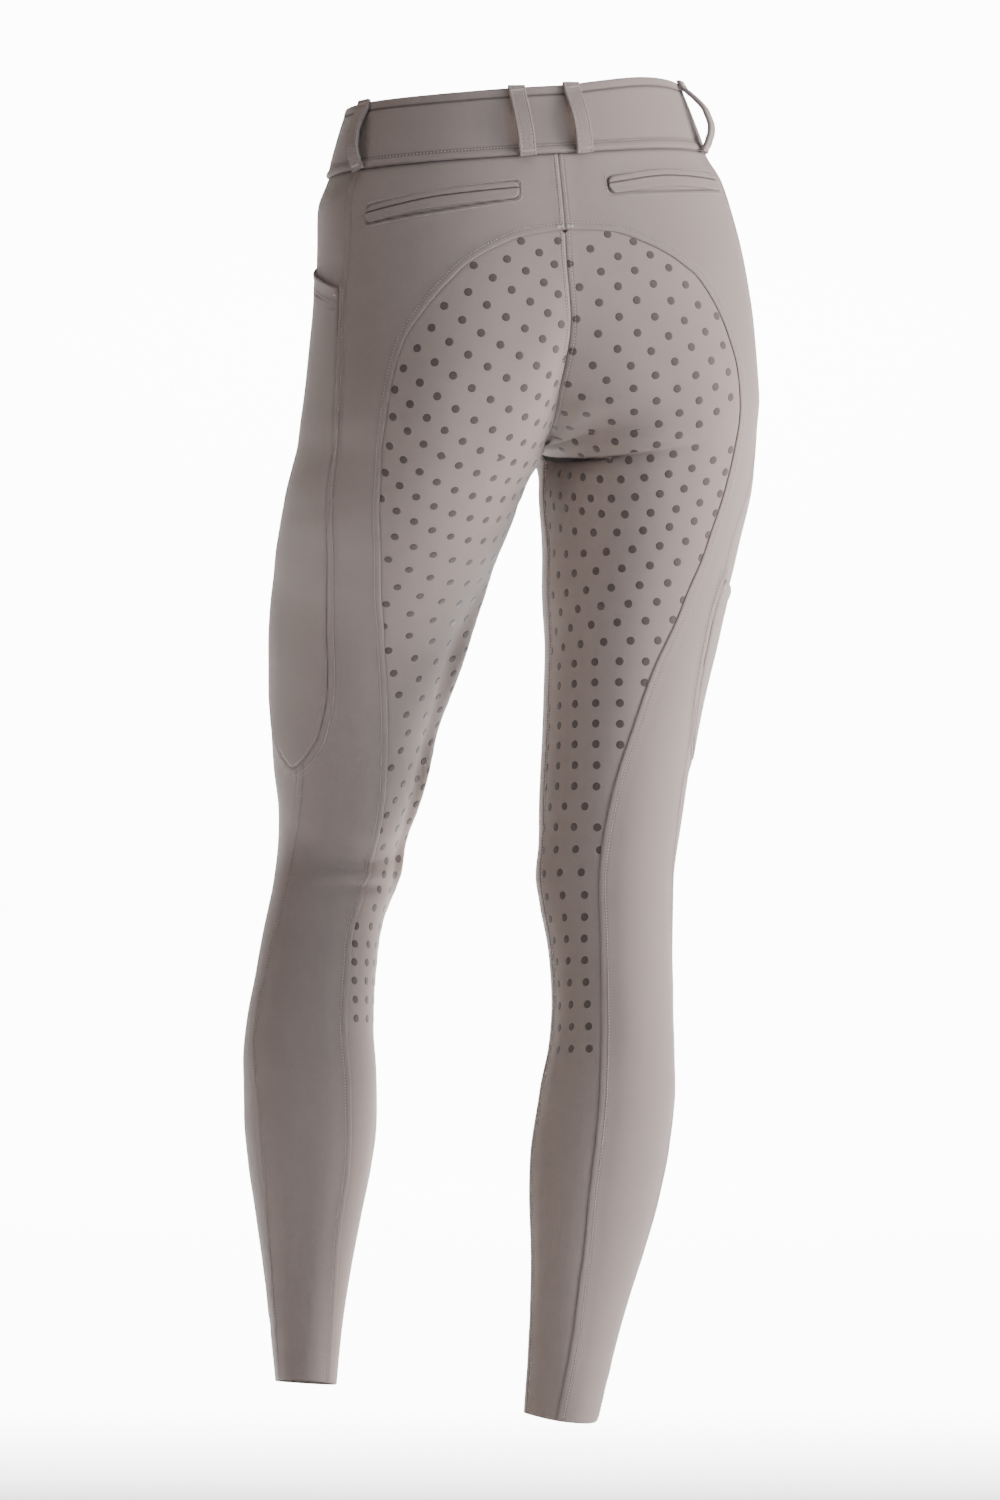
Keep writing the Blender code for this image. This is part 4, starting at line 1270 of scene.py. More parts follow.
def closed_wall(outer: Array, inner: Array, flip: bool, uv: Array | None = None,
                shade: Array | None = None) -> MeshData:
    """Makes a closed wall: an outer grid, an inner grid behind it, and a rim between them.

    Args:
        outer: rows by columns of points.
        inner: the points behind them.
        flip: whether the faces as numbered would look inwards.
        uv: place of each point on the flat cloth.
        shade: how dark the painted shade of the crease is at each outer point.

    Returns:
        The mesh's data.
    """
    rows, columns = outer.shape[:2]
    front = grid_faces(rows, columns)
    back = grid_faces(rows, columns, rows * columns)[:, ::-1]
    faces = np.concatenate([front, back, rim_faces(rows, columns)])
    faces = faces[:, ::-1] if flip else faces
    points = np.concatenate([outer.reshape(-1, 3), inner.reshape(-1, 3)])
    if uv is not None:
        uv = np.concatenate([uv.reshape(-1, 2)] * 2)
    if shade is not None:
        shade = np.concatenate([shade.ravel(), np.full(rows * columns, INNER_SHADE)])
    return MeshData(points, [faces], uv, shade)


def blender_mesh(name: str, data: MeshData, sharp: float = 50.0) -> bpy.types.Mesh:
    """Puts the arrays into a mesh, in metres, smooth but for edges over an angle.

    Args:
        name: name of the mesh.
        data: its points, faces and what is kept at each point.
        sharp: the angle in degrees.

    Returns:
        The mesh.
    """
    mesh = bpy.data.meshes.new(name)
    sizes = np.concatenate([np.full(len(block), block.shape[1]) for block in data.faces])
    corners = np.concatenate([block.ravel() for block in data.faces]).astype(np.int32)
    mesh.vertices.add(len(data.points))
    mesh.vertices.foreach_set("co", (data.points * MM).astype(np.float32).ravel())
    mesh.loops.add(len(corners))
    mesh.loops.foreach_set("vertex_index", corners)
    mesh.polygons.add(len(sizes))
    starts = np.concatenate([[0], np.cumsum(sizes)[:-1]]).astype(np.int32)
    mesh.polygons.foreach_set("loop_start", starts)
    mesh.update(calc_edges=True)
    if data.cloth_uv is not None:
        layer = mesh.uv_layers.new(name="cloth")
        layer.data.foreach_set("uv", (data.cloth_uv[corners] * MM).astype(np.float32).ravel())
    if data.shade is not None:
        kept = mesh.attributes.new("shade", "FLOAT", "POINT")
        kept.data.foreach_set("value", data.shade.astype(np.float32))
    mesh.validate()
    mesh.polygons.foreach_set("use_smooth", np.ones(len(mesh.polygons), bool))
    mesh.set_sharp_from_angle(angle=math.radians(sharp))
    return mesh


@dataclass
class Shown:
    """A finished piece and what it stands for."""

    name: str
    data: MeshData
    finish: bpy.types.Material
    slot: str
    nodes: tuple[str, ...] = ()
    sharp: float = 50.0

    def place(self) -> bpy.types.Object:
        """Makes the object, hides the solids that it replaces, and lets it ride on the root.

        Returns:
            The object.
        """
        mesh = blender_mesh(self.name, self.data, self.sharp)
        mesh.materials.append(self.finish)
        piece = bpy.data.objects.new(self.name, mesh)
        bpy.context.scene.collection.objects.link(piece)
        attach(piece, "root")
        if self.nodes:
            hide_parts(*self.nodes)
        LOG.info("%s: %d faces", self.name, len(mesh.polygons))
        return piece


# ---- shader nodes ---------------------------------------------------------------------
class Signal:
    """A number that varies over a surface; a sum on it becomes Math nodes."""

    def __init__(self, maker: "NodeMaker", socket: bpy.types.NodeSocket) -> None:
        """Wraps an output socket of a material that maker adds nodes to."""
        self.maker = maker
        self.socket = socket

    def __add__(self, other: "Signal | float") -> "Signal":
        """Returns self + other."""
        return self.maker.maths("ADD", self, other)

    __radd__ = __add__

    def __sub__(self, other: "Signal | float") -> "Signal":
        """Returns self - other."""
        return self.maker.maths("SUBTRACT", self, other)

    def __rsub__(self, other: float) -> "Signal":
        """Returns other - self."""
        return self.maker.maths("SUBTRACT", other, self)

    def __mul__(self, other: "Signal | float") -> "Signal":
        """Returns self * other."""
        return self.maker.maths("MULTIPLY", self, other)

    def sine(self) -> "Signal":
        """Returns the sine of self, in radians."""
        return self.maker.maths("SINE", self)

    def size(self) -> "Signal":
        """Returns self without its sign."""
        return self.maker.maths("ABSOLUTE", self)

    def held(self) -> "Signal":
        """Returns self held between 0 and 1."""
        return self.maker.maths("MAXIMUM", self.maker.maths("MINIMUM", self, 1.0), 0.0)


class NodeMaker:
    """Adds nodes to one new material."""

    def __init__(self, name: str) -> None:
        """Starts a material with a shader and an output."""
        self.material = bpy.data.materials.new(name)
        self.material.use_nodes = True
        self.tree = self.material.node_tree
        self.shader = self.tree.nodes["Principled BSDF"]

    def put(self, socket: bpy.types.NodeSocket, value: Any) -> None:
        """Links a signal or an output to a socket, or sets its value.

        Args:
            socket: the input.
            value: a signal, an output or a constant.
        """
        if isinstance(value, Signal):
            value = value.socket
        if isinstance(value, bpy.types.NodeSocket):
            self.tree.links.new(value, socket)
        else:
            socket.default_value = value

    def node(self, kind: str, settings: dict[str, Any] | None = None,
             sockets: dict[str | int, Any] | None = None) -> bpy.types.Node:
        """Adds one node.

        Args:
            kind: the node's type.
            settings: its settings.
            sockets: values or links for its inputs, by name or number.

        Returns:
            The node.
        """
        made = self.tree.nodes.new(kind)
        for name, value in (settings or {}).items():
            setattr(made, name, value)
        for key, value in (sockets or {}).items():
            self.put(made.inputs[key], value)
        return made

    def maths(self, operation: str, *values: Any) -> Signal:
        """Adds a Math node on numbers or signals and returns its result."""
        made = self.node("ShaderNodeMath", {"operation": operation}, dict(enumerate(values)))
        return Signal(self, made.outputs[0])

    def place(self) -> bpy.types.NodeSocket:
        """Returns the place on the object, in metres."""
        return self.node("ShaderNodeTexCoord").outputs["Object"]

    def parts(self, vector: Any) -> tuple[Signal, ...]:
        """Returns the three numbers of a vector."""
        split = self.node("ShaderNodeSeparateXYZ", None, {0: vector})
        return tuple(Signal(self, split.outputs[axis]) for axis in range(3))

    def stretched(self, vector: Any, scale: tuple[float, float, float]) -> bpy.types.NodeSocket:
        """Returns a vector scaled along each axis."""
        return self.node("ShaderNodeMapping", None, {"Vector": vector, "Scale": scale}).outputs[0]

    def mixed(self, factor: Any, first: Any, second: Any) -> bpy.types.NodeSocket:
        """Returns a mix of two colours, by the share of the second."""
        return self.node("ShaderNodeMix", {"data_type": "RGBA"},
                         {0: factor, 6: first, 7: second}).outputs[2]

    def noise(self, vector: Any, scale: float, detail: float = 2.0,
              roughness: float = 0.5) -> Signal:
        """Adds a Noise Texture and returns its value, between 0 and 1."""
        made = self.node("ShaderNodeTexNoise", None, {
            "Vector": vector, "Scale": scale, "Detail": detail, "Roughness": roughness})
        return Signal(self, made.outputs[0])

    def bump(self, height: Signal, strength: float, distance: float) -> bpy.types.NodeSocket:
        """Adds a Bump node and returns its normal; distance is the height in metres."""
        made = self.node("ShaderNodeBump", None, {
            "Strength": strength, "Distance": distance, "Height": height})
        return made.outputs[0]

    def dress(self, **values: Any) -> bpy.types.Material:
        """Sets the shader's sockets, named with underscores for spaces.

        Args:
            values: constants or links.

        Returns:
            The material.
        """
        for name, value in values.items():
            self.put(self.shader.inputs[name.replace("_", " ")], value)
        return self.material


Colour = tuple[float, float, float, float]
SKIN_DEPTH = 0.00005    # metres of the finest relief of thread, silicone and plastic


@dataclass(frozen=True)
class TwoTone:
    """What every finish of the garment has: a name, a colour and its lighter tone."""

    name: str
    colour: Colour
    light: Colour


@dataclass(frozen=True)
class ClothFinish(TwoTone):
    """Smooth stretch cloth: a very fine knit, faintly heathered, with painted shade in its creases.
    """

    # The colour of the painted shade in creases, seams and inner faces.
    crease: Colour
    stitch_pitch: float = 0.62      # millimetres between wales of the knit
    knit_height: float = 0.00006
    roughness: float = 0.78
    sheen: float = 0.22

    def make(self) -> bpy.types.Material:
        """Builds the material.

        The knit is the sum of two sines on the flat cloth's coordinates, slanted to each
        other. Heather is a fine noise stretched down the cloth, and cloudiness is a
        coarse one.

        Returns:
            The material.
        """
        maker = NodeMaker(self.name)
        uv = maker.node("ShaderNodeUVMap", {"uv_map": "cloth"}).outputs[0]
        across, down, _ = maker.parts(uv)
        turns = 2 * math.pi / (self.stitch_pitch * MM)
        wales = (across * turns).sine()
        courses = ((down + across * 0.5) * turns * 0.9).sine()
        knit = wales * 0.5 + courses * 0.5
        heather = maker.noise(maker.stretched(uv, (1.0, 0.45, 1.0)), 1500.0, 2.0, 0.6)
        speck = maker.noise(uv, 420.0, 3.0, 0.6)
        cloud = maker.noise(uv, 9.0, 2.0, 0.5)
        # Painted shade: the shade attribute darkens the colour towards the crease colour.
        kept = maker.node("ShaderNodeAttribute", {"attribute_name": "shade"})
        shade = Signal(maker, kept.outputs[2])
        tone = (0.5 + (heather - 0.5) * 0.7 + (speck - 0.5) * 0.45 + (cloud - 0.5) * 0.5
                + knit * 0.06).held()
        body = maker.mixed(tone, self.colour, self.light)
        depth = (shade * 0.82 + shade * shade * shade * 0.16).held()
        dressed = maker.mixed(depth, body, self.crease)
        rough = (self.roughness + (speck - 0.5) * 0.16 + (cloud - 0.5) * 0.1).held()
        relief = knit * 0.5 + (heather - 0.5) * 1.4 + (speck - 0.5) * 1.2
        return maker.dress(Base_Color=dressed, Roughness=rough,
                           Normal=maker.bump(relief, 0.5, self.knit_height),
                           Sheen_Weight=self.sheen, Sheen_Roughness=0.45,
                           Sheen_Tint=(0.93, 0.9, 0.88, 1.0), Specular_IOR_Level=0.32)


@dataclass(frozen=True)
class ThreadFinish(TwoTone):
    """Polyester sewing thread, a little glossier than the cloth."""

    roughness: float = 0.5

    def make(self) -> bpy.types.Material:
        """Builds the material: two tones by a fine noise, which also roughens the thread.

        Returns:
            The material.
        """
        maker = NodeMaker(self.name)
        place = maker.place()
        twist = maker.noise(place, 2600.0, 1.0)
        lengths = maker.noise(place, 60.0, 2.0)
        colour = maker.mixed((twist * 0.6 + lengths * 0.4).held(), self.colour, self.light)
        rough = (self.roughness + (twist - 0.5) * 0.2).held()
        return maker.dress(Base_Color=colour, Roughness=rough,
                           Normal=maker.bump(twist, 0.4, SKIN_DEPTH), Sheen_Weight=0.15)


@dataclass(frozen=True)
class GripFinish(TwoTone):
    """Printed silicone: dark and smooth, with a dusty sheen."""

    roughness: float = 0.6

    def make(self) -> bpy.types.Material:
        """Builds the material: a noise clouds the colour and roughness, a finer one the skin.

        Returns:
            The material.
        """
        maker = NodeMaker(self.name)
        place = maker.place()
        cloud = maker.noise(place, 160.0, 2.0)
        skin = maker.noise(place, 1900.0, 2.0)
        colour = maker.mixed((cloud * 0.7 + skin * 0.3).held(), self.colour, self.light)
        rough = (self.roughness + (cloud - 0.5) * 0.3).held()
        return maker.dress(Base_Color=colour, Roughness=rough,
                           Normal=maker.bump(skin, 0.25, SKIN_DEPTH), Specular_IOR_Level=0.22,
                           Sheen_Weight=0.5, Sheen_Roughness=0.5)


@dataclass(frozen=True)
class ButtonFinish(TwoTone):
    """Moulded button: a faint swirl in the plastic under a satin face."""

    roughness: float = 0.32

    def make(self) -> bpy.types.Material:
        """Builds the material: a stretched noise for the swirl, a fine one for scuffs.

        Returns:
            The material.
        """
        maker = NodeMaker(self.name)
        place = maker.place()
        swirl = maker.noise(maker.stretched(place, (1.0, 1.0, 3.0)), 180.0, 4.0, 0.6)
        scuff = maker.noise(place, 1400.0, 3.0)
        colour = maker.mixed(swirl, self.colour, self.light)
        rough = (self.roughness + (scuff - 0.5) * 0.3).held()
        return maker.dress(Base_Color=colour, Roughness=rough,
                           Normal=maker.bump(scuff, 0.15, SKIN_DEPTH), Coat_Weight=0.15,
                           Coat_Roughness=0.3)


@dataclass(frozen=True)
class StageFinish:
    """The studio floor: pale, matt and plain, glowing white behind the garment."""

    name: str
    colour: Colour
    away: tuple[float, float, float]
    aside: tuple[float, float, float]
    glow: float
    depths: tuple[float, float] = (0.05, 0.8)
    halves: tuple[float, float] = (0.9, 1.4)
    heights: tuple[float, float] = (0.75, 1.2)

    def make(self) -> bpy.types.Material:
        """Builds the material: the glow fades towards the camera, to the sides and upwards.

        The stage is clear from behind, so that it never hides the garment.

        Returns:
            The material.
        """
        maker = NodeMaker(self.name)
        place = maker.place()
        x, y, z = maker.parts(place)
        depth = x * self.away[0] + y * self.away[1]
        half = (x * self.aside[0] + y * self.aside[1]).size()
        share = ((depth - self.depths[0]) * (1 / (self.depths[1] - self.depths[0]))).held()
        for measure, (inner, outer) in ((half, self.halves), (z, self.heights)):
            share = share * ((outer - measure) * (1 / (outer - inner))).held()
        glow = maker.mixed(share, (0.0, 0.0, 0.0, 1.0), (1.0, 1.0, 1.0, 1.0))
        rough = (0.8 + (maker.noise(place, 3.0) - 0.5) * 0.1).held()
        maker.dress(Base_Color=self.colour, Roughness=rough, Specular_IOR_Level=0.2,
                    Emission_Color=glow, Emission_Strength=self.glow)
        behind = maker.node("ShaderNodeNewGeometry").outputs["Backfacing"]
        clear = maker.node("ShaderNodeBsdfTransparent").outputs[0]
        seen = maker.node("ShaderNodeMixShader", None,
                          {0: behind, 1: maker.shader.outputs[0], 2: clear})
        maker.put(maker.tree.nodes["Material Output"].inputs["Surface"], seen.outputs[0])
        return maker.material


@dataclass(frozen=True)
class Finishes:
    """Every finish of the garment."""

    body: bpy.types.Material
    seat: bpy.types.Material
    trim: bpy.types.Material
    thread: bpy.types.Material
    dark_thread: bpy.types.Material
    grip: bpy.types.Material
    button: bpy.types.Material

    @classmethod
    def make(cls) -> "Finishes":
        """Builds each finish once.

        Returns:
            The finishes.
        """
        # The colour of the painted shade in creases, seams and inner faces.
        crease = (0.012, 0.008, 0.007, 1.0)
        return cls(
            body=ClothFinish("stretch_cloth_finish", (0.250, 0.206, 0.192, 1),
                             (0.300, 0.254, 0.242, 1), crease).make(),
            seat=ClothFinish("seat_cloth_finish", (0.262, 0.213, 0.194, 1),
                             (0.318, 0.264, 0.246, 1), crease, roughness=0.84, sheen=0.28).make(),
            trim=ClothFinish("trim_cloth_finish", (0.246, 0.202, 0.189, 1),
                             (0.296, 0.249, 0.238, 1), crease).make(),
            thread=ThreadFinish("thread_finish", (0.400, 0.346, 0.324, 1),
                                (0.470, 0.412, 0.388, 1)).make(),
            # A painted shade copy of the thread, for stitches sunk in shadow.
            dark_thread=ThreadFinish("dark_thread_finish", (0.070, 0.055, 0.046, 1),
                                     (0.100, 0.080, 0.068, 1)).make(),
            grip=GripFinish("grip_finish", (0.072, 0.054, 0.049, 1),
                            (0.094, 0.073, 0.067, 1)).make(),
            button=ButtonFinish("button_finish", (0.110, 0.090, 0.076, 1),
                                (0.150, 0.124, 0.106, 1)).make())

    def of_slot(self, slot: str) -> bpy.types.Material:
        """Returns the cloth that a material slot stands for."""
        return {"stretch_cloth": self.body, "seat_cloth": self.seat, "trim_cloth": self.trim}[slot]


# ---- sewing ---------------------------------------------------------------------------
PITCH = 2.35            # millimetres from one stitch to the next
SMALL_SHARP = 80.0      # degrees; thread and dots are smooth under it


class Stitches(NamedTuple):
    """Places, ways along and ways out of many stitches, and how long each is."""

    centre: Array
    along: Array
    outward: Array
    length: Array


def laid_between(points: Array, outward: Array, length: float) -> Stitches:
    """Lays a stitch on every step of a line.

    Args:
        points: the line's points.
        outward: the way out at each.
        length: of each stitch.

    Returns:
        The stitches.
    """
    along = unit(points[1:] - points[:-1])
    facing = unit(outward[1:] + outward[:-1])
    return Stitches((points[1:] + points[:-1]) / 2, along, facing, np.full(len(along), length))


@dataclass(frozen=True)
class Thread:
    """Sewing thread: every stitch a small capsule that dips into the cloth at its ends."""

    radius: float = 0.40
    sides: int = 5
    rise: float = 0.17
    dip: float = 0.16
    end_place: float = 0.72     # where the end rings are, as a share of half the length
    end_size: float = 0.85

    def mesh(self, batches: Sequence[Stitches]) -> MeshData:
        """Builds all the stitches of one piece.

        Each has rings at both ends and the middle, and a pole beyond either end; the
        middle ring stands higher than the end rings.

        Args:
            batches: the stitches.

        Returns:
            The mesh's data.
        """
        centre, along, outward, length = (np.concatenate(parts) for parts in zip(*batches))
        half = length[:, None] / 2
        across = np.cross(along, outward)
        angles = np.arange(self.sides) * 2 * math.pi / self.sides
        rings = []
        end_height = -self.dip * 0.4
        for place, height, size in ((-self.end_place, end_height, self.end_size),
                                    (0.0, self.rise, 1.0),
                                    (self.end_place, end_height, self.end_size)):
            middle = centre + along * half * place + outward * height
            for angle in angles:
                way = outward * math.cos(angle) + across * math.sin(angle)
                rings.append(middle + self.radius * size * way)
        poles = [centre + along * half * end - outward * self.dip for end in (-1.0, 1.0)]
        points = np.stack([poles[0]] + rings + [poles[1]], axis=1)
        faces = repeated([self._caps(), ring_faces(self.sides, 2)], len(centre), points.shape[1])
        return MeshData(points.reshape(-1, 3), faces)

    def _caps(self) -> Array:
        """Numbers the triangles at both poles of one stitch.

        Returns:
            Three numbers for each triangle.
        """
        n = self.sides
        first = 1 + np.arange(n)
        following = np.roll(first, -1)
        return np.concatenate([
            np.stack([np.zeros(n, int), first, following], 1),
            np.stack([np.full(n, 3 * n + 1), following + 2 * n, first + 2 * n], 1)])


@dataclass(frozen=True)
class Surface:
    """The dressed face of a piece: the cloth's face, its lift and its relief."""

    relief: Relief
    lift: float = 0.0
    apart: float = 0.0

    def place(self, side: Side, level: Array, turn: Array,
              extra: float = 0.0) -> tuple[Array, Array]:
        """Finds places on the dressed face.

        Args:
            side: which half of the garment.
            level: levels in millimetres.
            turn: turns.
            extra: height above the face.

        Returns:
            Points and ways out.
        """
        bare = FORM.point(side, level, turn, self.apart)
        outward = FORM.normal(side, level, turn, self.apart)
        height, _ = self.relief.measure(bare, level, turn)
        return bare + outward * (height + self.lift + extra)[..., None], outward

    def row(self, line: Line, pitch: float = PITCH, length: float = 1.8,
            extra: float = 0.0) -> Stitches:
        """Sews a row of stitches along a line.

        Args:
            line: where.
            pitch: from one stitch to the next.
            length: of each stitch.
            extra: height above the face.

        Returns:
            The stitches.
        """
        even = line.evenly(pitch)
        row = laid_between(*self.place(line.side, even.level, even.turn, extra), length)
        slant = (row.outward * row.along).sum(-1, keepdims=True)
        return row._replace(outward=unit(row.outward - row.along * slant))

    def tack(self, line: Line, width: float = 2.4, spacing: float = 0.42,
             extra: float = 0.1) -> Stitches:
        """Sews a bar tack along a short line: close stitches, width long, across it."""
        row = self.row(line, spacing, width, extra)
        return row._replace(along=unit(np.cross(row.outward, row.along)))


# ---- cut pieces -----------------------------------------------------------------------
EDGE_STEPS = (0.0, 0.35, 0.8, 1.4, 2.1, 2.9, 3.8, 4.7, 5.6, 6.5, 7.6, 9.4)


def edge_steps() -> tuple[float, ...]:
    """Returns how far from an edge the fine columns of a panel lie."""
    return EDGE_STEPS


def spread(width: Array, start: Sequence[float], end: Sequence[float], step: float) -> Array:
    """Shares out the columns of a panel: fine near both edges, even between.

    The fine offsets shrink where a row is narrow, so that they never take over half of it.

    Args:
        width: length of each row.
        start: offsets from the first edge.
        end: offsets from the second edge.
        step: spacing of the others on the widest row.

    Returns:
        For each row, the share of its length at which each column lies.
    """
    count = max(3, int(round((width.max() - start[-1] - end[-1]) / step)))
    squeeze = np.minimum(1.0, width * 0.6 / (start[-1] + end[-1]))[:, None]
    first = np.array(start)[None, :] * squeeze
    last = width[:, None] - np.array(end)[::-1][None, :] * squeeze
    part = np.linspace(0, 1, count + 1)[1:-1][None, :]
    middle = first[:, -1:] * (1 - part) + last[:, :1] * part
    return np.concatenate([first, middle, last], axis=1) / width[:, None]


def between(first: Line, second: Line, share: Array) -> tuple[Array, Array]:
    """Fills a grid with straight rows from one line to another.

    Args:
        first: where the rows start.
        second: where they end.
        share: for each row, the share at which each column lies.

    Returns:
        Levels and turns.
    """
    level = first.level[:, None] * (1 - share) + second.level[:, None] * share
    turn = first.turn[:, None] * (1 - share) + second.turn[:, None] * share
    return level, turn


def row_widths(first: Line, second: Line) -> Array:
    """Measures the rows between two lines along the cloth.

    Args:
        first: where the rows start.
        second: where they end.

    Returns:
        A length for each row.
    """
    share = np.tile(np.linspace(0, 1, 13), (len(first.level), 1))
    points = FORM.point(first.side, *between(first, second, share))
    return np.linalg.norm(np.diff(points, axis=1), axis=2).sum(axis=1)


@dataclass
class Panel:
    """One cut piece of a leg, with its sewing."""

    name: str
    edges: tuple[Line, Line]
    surface: Surface
    wall: float = 1.2
    step: float = 3.2
    sewing: Sequence[Stitches] = ()
    shadow_edge: tuple[float, float] = (-0.9, 0.6)      # where the crease's shade begins
    shadow_fade: float = 2.8

    def grid(self) -> tuple[Array, Array]:
        """Returns the levels and turns of the panel's grid."""
        first, second = self.edges
        width = row_widths(first, second)
        return between(first, second, spread(width, edge_steps(), edge_steps(), coarse(self.step)))

    def mesh(self) -> MeshData:
        """Builds the panel: its dressed face, its plain inner face and its rim.

        Returns:
            The mesh's data.
        """
        level, turn = self.grid()
        side, surface = self.edges[0].side, self.surface
        bare = FORM.point(side, level, turn, surface.apart)
        outward = FORM.normal(side, level, turn, surface.apart)
        height, shade = surface.relief.measure(bare, level, turn)
        # Painted shadow under the seat's overhang: darkest at the crease, fading down the thigh.
        under = under_seat(side, "level", turn) - level
        fade = np.exp(-np.maximum(under - 1, 0) / self.shadow_fade)
        dark = np.minimum(under_seat(side, "dark", turn) * fade, 1.0)
        shade = np.maximum(shade, dark * ease(*self.shadow_edge, under))
        outer = bare + outward * (height + surface.lift)[..., None]
        inner = bare - outward * (self.wall - surface.lift)
        uv = np.stack([FLAT[side].x(level.ravel(), turn.ravel()).reshape(level.shape), level], -1)
        return closed_wall(outer, inner, side is Side.RIGHT, uv, shade)

    def show(self, finishes: Finishes, slot: str) -> list[bpy.types.Object]:
        """Places the panel and its sewing.

        Args:
            finishes: the garment's finishes.
            slot: the name of its material slot.

        Returns:
            The panel's object, then the sewing's.
        """
        cloth = Shown(self.name + "_cloth", self.mesh(), finishes.of_slot(slot), slot, (self.name,))
        return [cloth.place()] + sew(self.name, self.sewing, (), finishes)


def sew(name: str, light: Sequence[Stitches], dark: Sequence[Stitches],
        finishes: Finishes) -> list[bpy.types.Object]:
    """Makes the sewing of one piece: in the thread's own colour, and in a painted shade colour.
        dark: stitches sunk in shadow.
        finishes: the garment's finishes.

    Returns:
        The objects.
    """
    made = []
    for word, batches, finish in (("sewing", light, finishes.thread),
                                  ("sunk_shaded_sewing", dark, finishes.dark_thread)):
        if batches:
            data = Thread().mesh(batches)
            piece = Shown(name + "_" + word, data, finish, "trim_cloth", sharp=SMALL_SHARP)
            made.append(piece.place())
    return made


def inside_outline(level: Array, turn: Array, outline_level: Array, outline_turn: Array) -> Array:
    """Tells which places lie inside a closed outline, by counting crossings.

    Args:
        level: levels of the places.
        turn: their turns.
        outline_level: levels round the outline.
        outline_turn: turns round the outline.

    Returns:
        True where a place is inside.
    """
    flat_level, flat_turn = level.ravel()[:, None], turn.ravel()[:, None]
    next_level, next_turn = np.roll(outline_level, -1), np.roll(outline_turn, -1)
    spans = (outline_level[None] > flat_level) != (next_level[None] > flat_level)
    rise = np.where(next_level == outline_level, 1e-9, next_level - outline_level)
    at = outline_turn + (flat_level - outline_level) / rise * (next_turn - outline_turn)
    return ((spans & (flat_turn < at)).sum(axis=1) % 2 == 1).reshape(level.shape)


@dataclass
class ThighPocket:
    """A patch pocket over the side seam, its mouth rolled over into a bead."""

    side: Side
    row_step: float = 3.0
    mouth_rows: tuple[float, ...] = (-11.5, -15.0)      # stitches, down from the mouth

    def rows(self) -> tuple[Line, Line]:
        """Steps the pocket's edges for its grid, closely at the mouth and the foot.

        Returns:
            The back edge and the front edge.
        """
        table = THIGH_POCKETS[self.side]
        knots = -(column(table, "back_level") + column(table, "front_level")) / 2
        count = int(round((knots[-1] - knots[0]) / self.row_step))
        even = np.linspace(knots[0], knots[-1], count + 1)
        near = np.array([0.5, 1.2, 2.1])
        at = np.unique(np.concatenate([even[:1], even[2:-2], even[-1:], knots[0] + near,
                                       knots[-1] - near]))
        read = {name: follow(knots, column(table, name), at) for name in PocketRow._fields}
        return (Line(self.side, read["back_level"], read["back_turn"]),
                Line(self.side, read["front_level"], read["front_turn"]))

    def hem(self) -> Line:
        """Returns the sewn edge: down the back, then up the front, without the mouth."""
        back, front = self.rows()
        return Line(self.side, np.concatenate([back.level, front.level[::-1]]),
                    np.concatenate([back.turn, front.turn[::-1]]))

    def outline(self) -> Line:
        """Returns the pocket's closed outline: its sewn edge, then its mouth."""
        hem = self.hem()
        return Line(self.side, np.append(hem.level, hem.level[0]), np.append(hem.turn, hem.turn[0]))

    def mouth(self) -> Line:
        """Returns the pocket's upper edge."""
        return straight(*self.rows(), 0, 60)

    def panel(self) -> Panel:
        """Builds the pocket's cut piece.

        Returns:
            The panel, with its mouth sewn twice.
        """
        # The shade numbers are painted shade along the pocket's edge, at its bead and along its
        # rows of stitches.
        edge = Profile((0, 0.5, 1.4, 2.6, 5.0, 9.0), (-0.85, -0.45, -0.1, 0.05, 0.05, 0.0),
                       shade_width=0.4, shade=0.1)
        bead = Profile((0, 0.5, 1.2, 2.2, 3.2, 4.2, 6.5),
                       (-0.2, 0.45, 0.75, 0.75, 0.3, -0.12, 0.0), shade_width=0.8, shade=0.5)
        groove = Profile((0, 0.8, 1.8, 3.0), (-0.22, -0.1, 0.06, 0.0), 0, 0.06, 0.9, 0.7)
        mouth = self.mouth()
        rows = [mouth.beside(shift) for shift in self.mouth_rows]
        relief = Relief(SeamRelief(self.hem().trace(1.0), edge), SeamRelief(mouth.trace(1.0), bead),
                        *(SeamRelief(row.trace(1.0), groove) for row in rows))
        surface = Surface(relief, lift=1.8)
        sewing = [surface.row(row.part(1.5, -1.5), extra=-0.05) for row in rows]
        tack = surface.tack(mouth.beside(-5.5).part(1.0, 5.0))
        return Panel("thigh_pocket_" + self.side.value, self.rows(), surface, wall=1.1, step=2.8,
                     sewing=sewing + [tack])


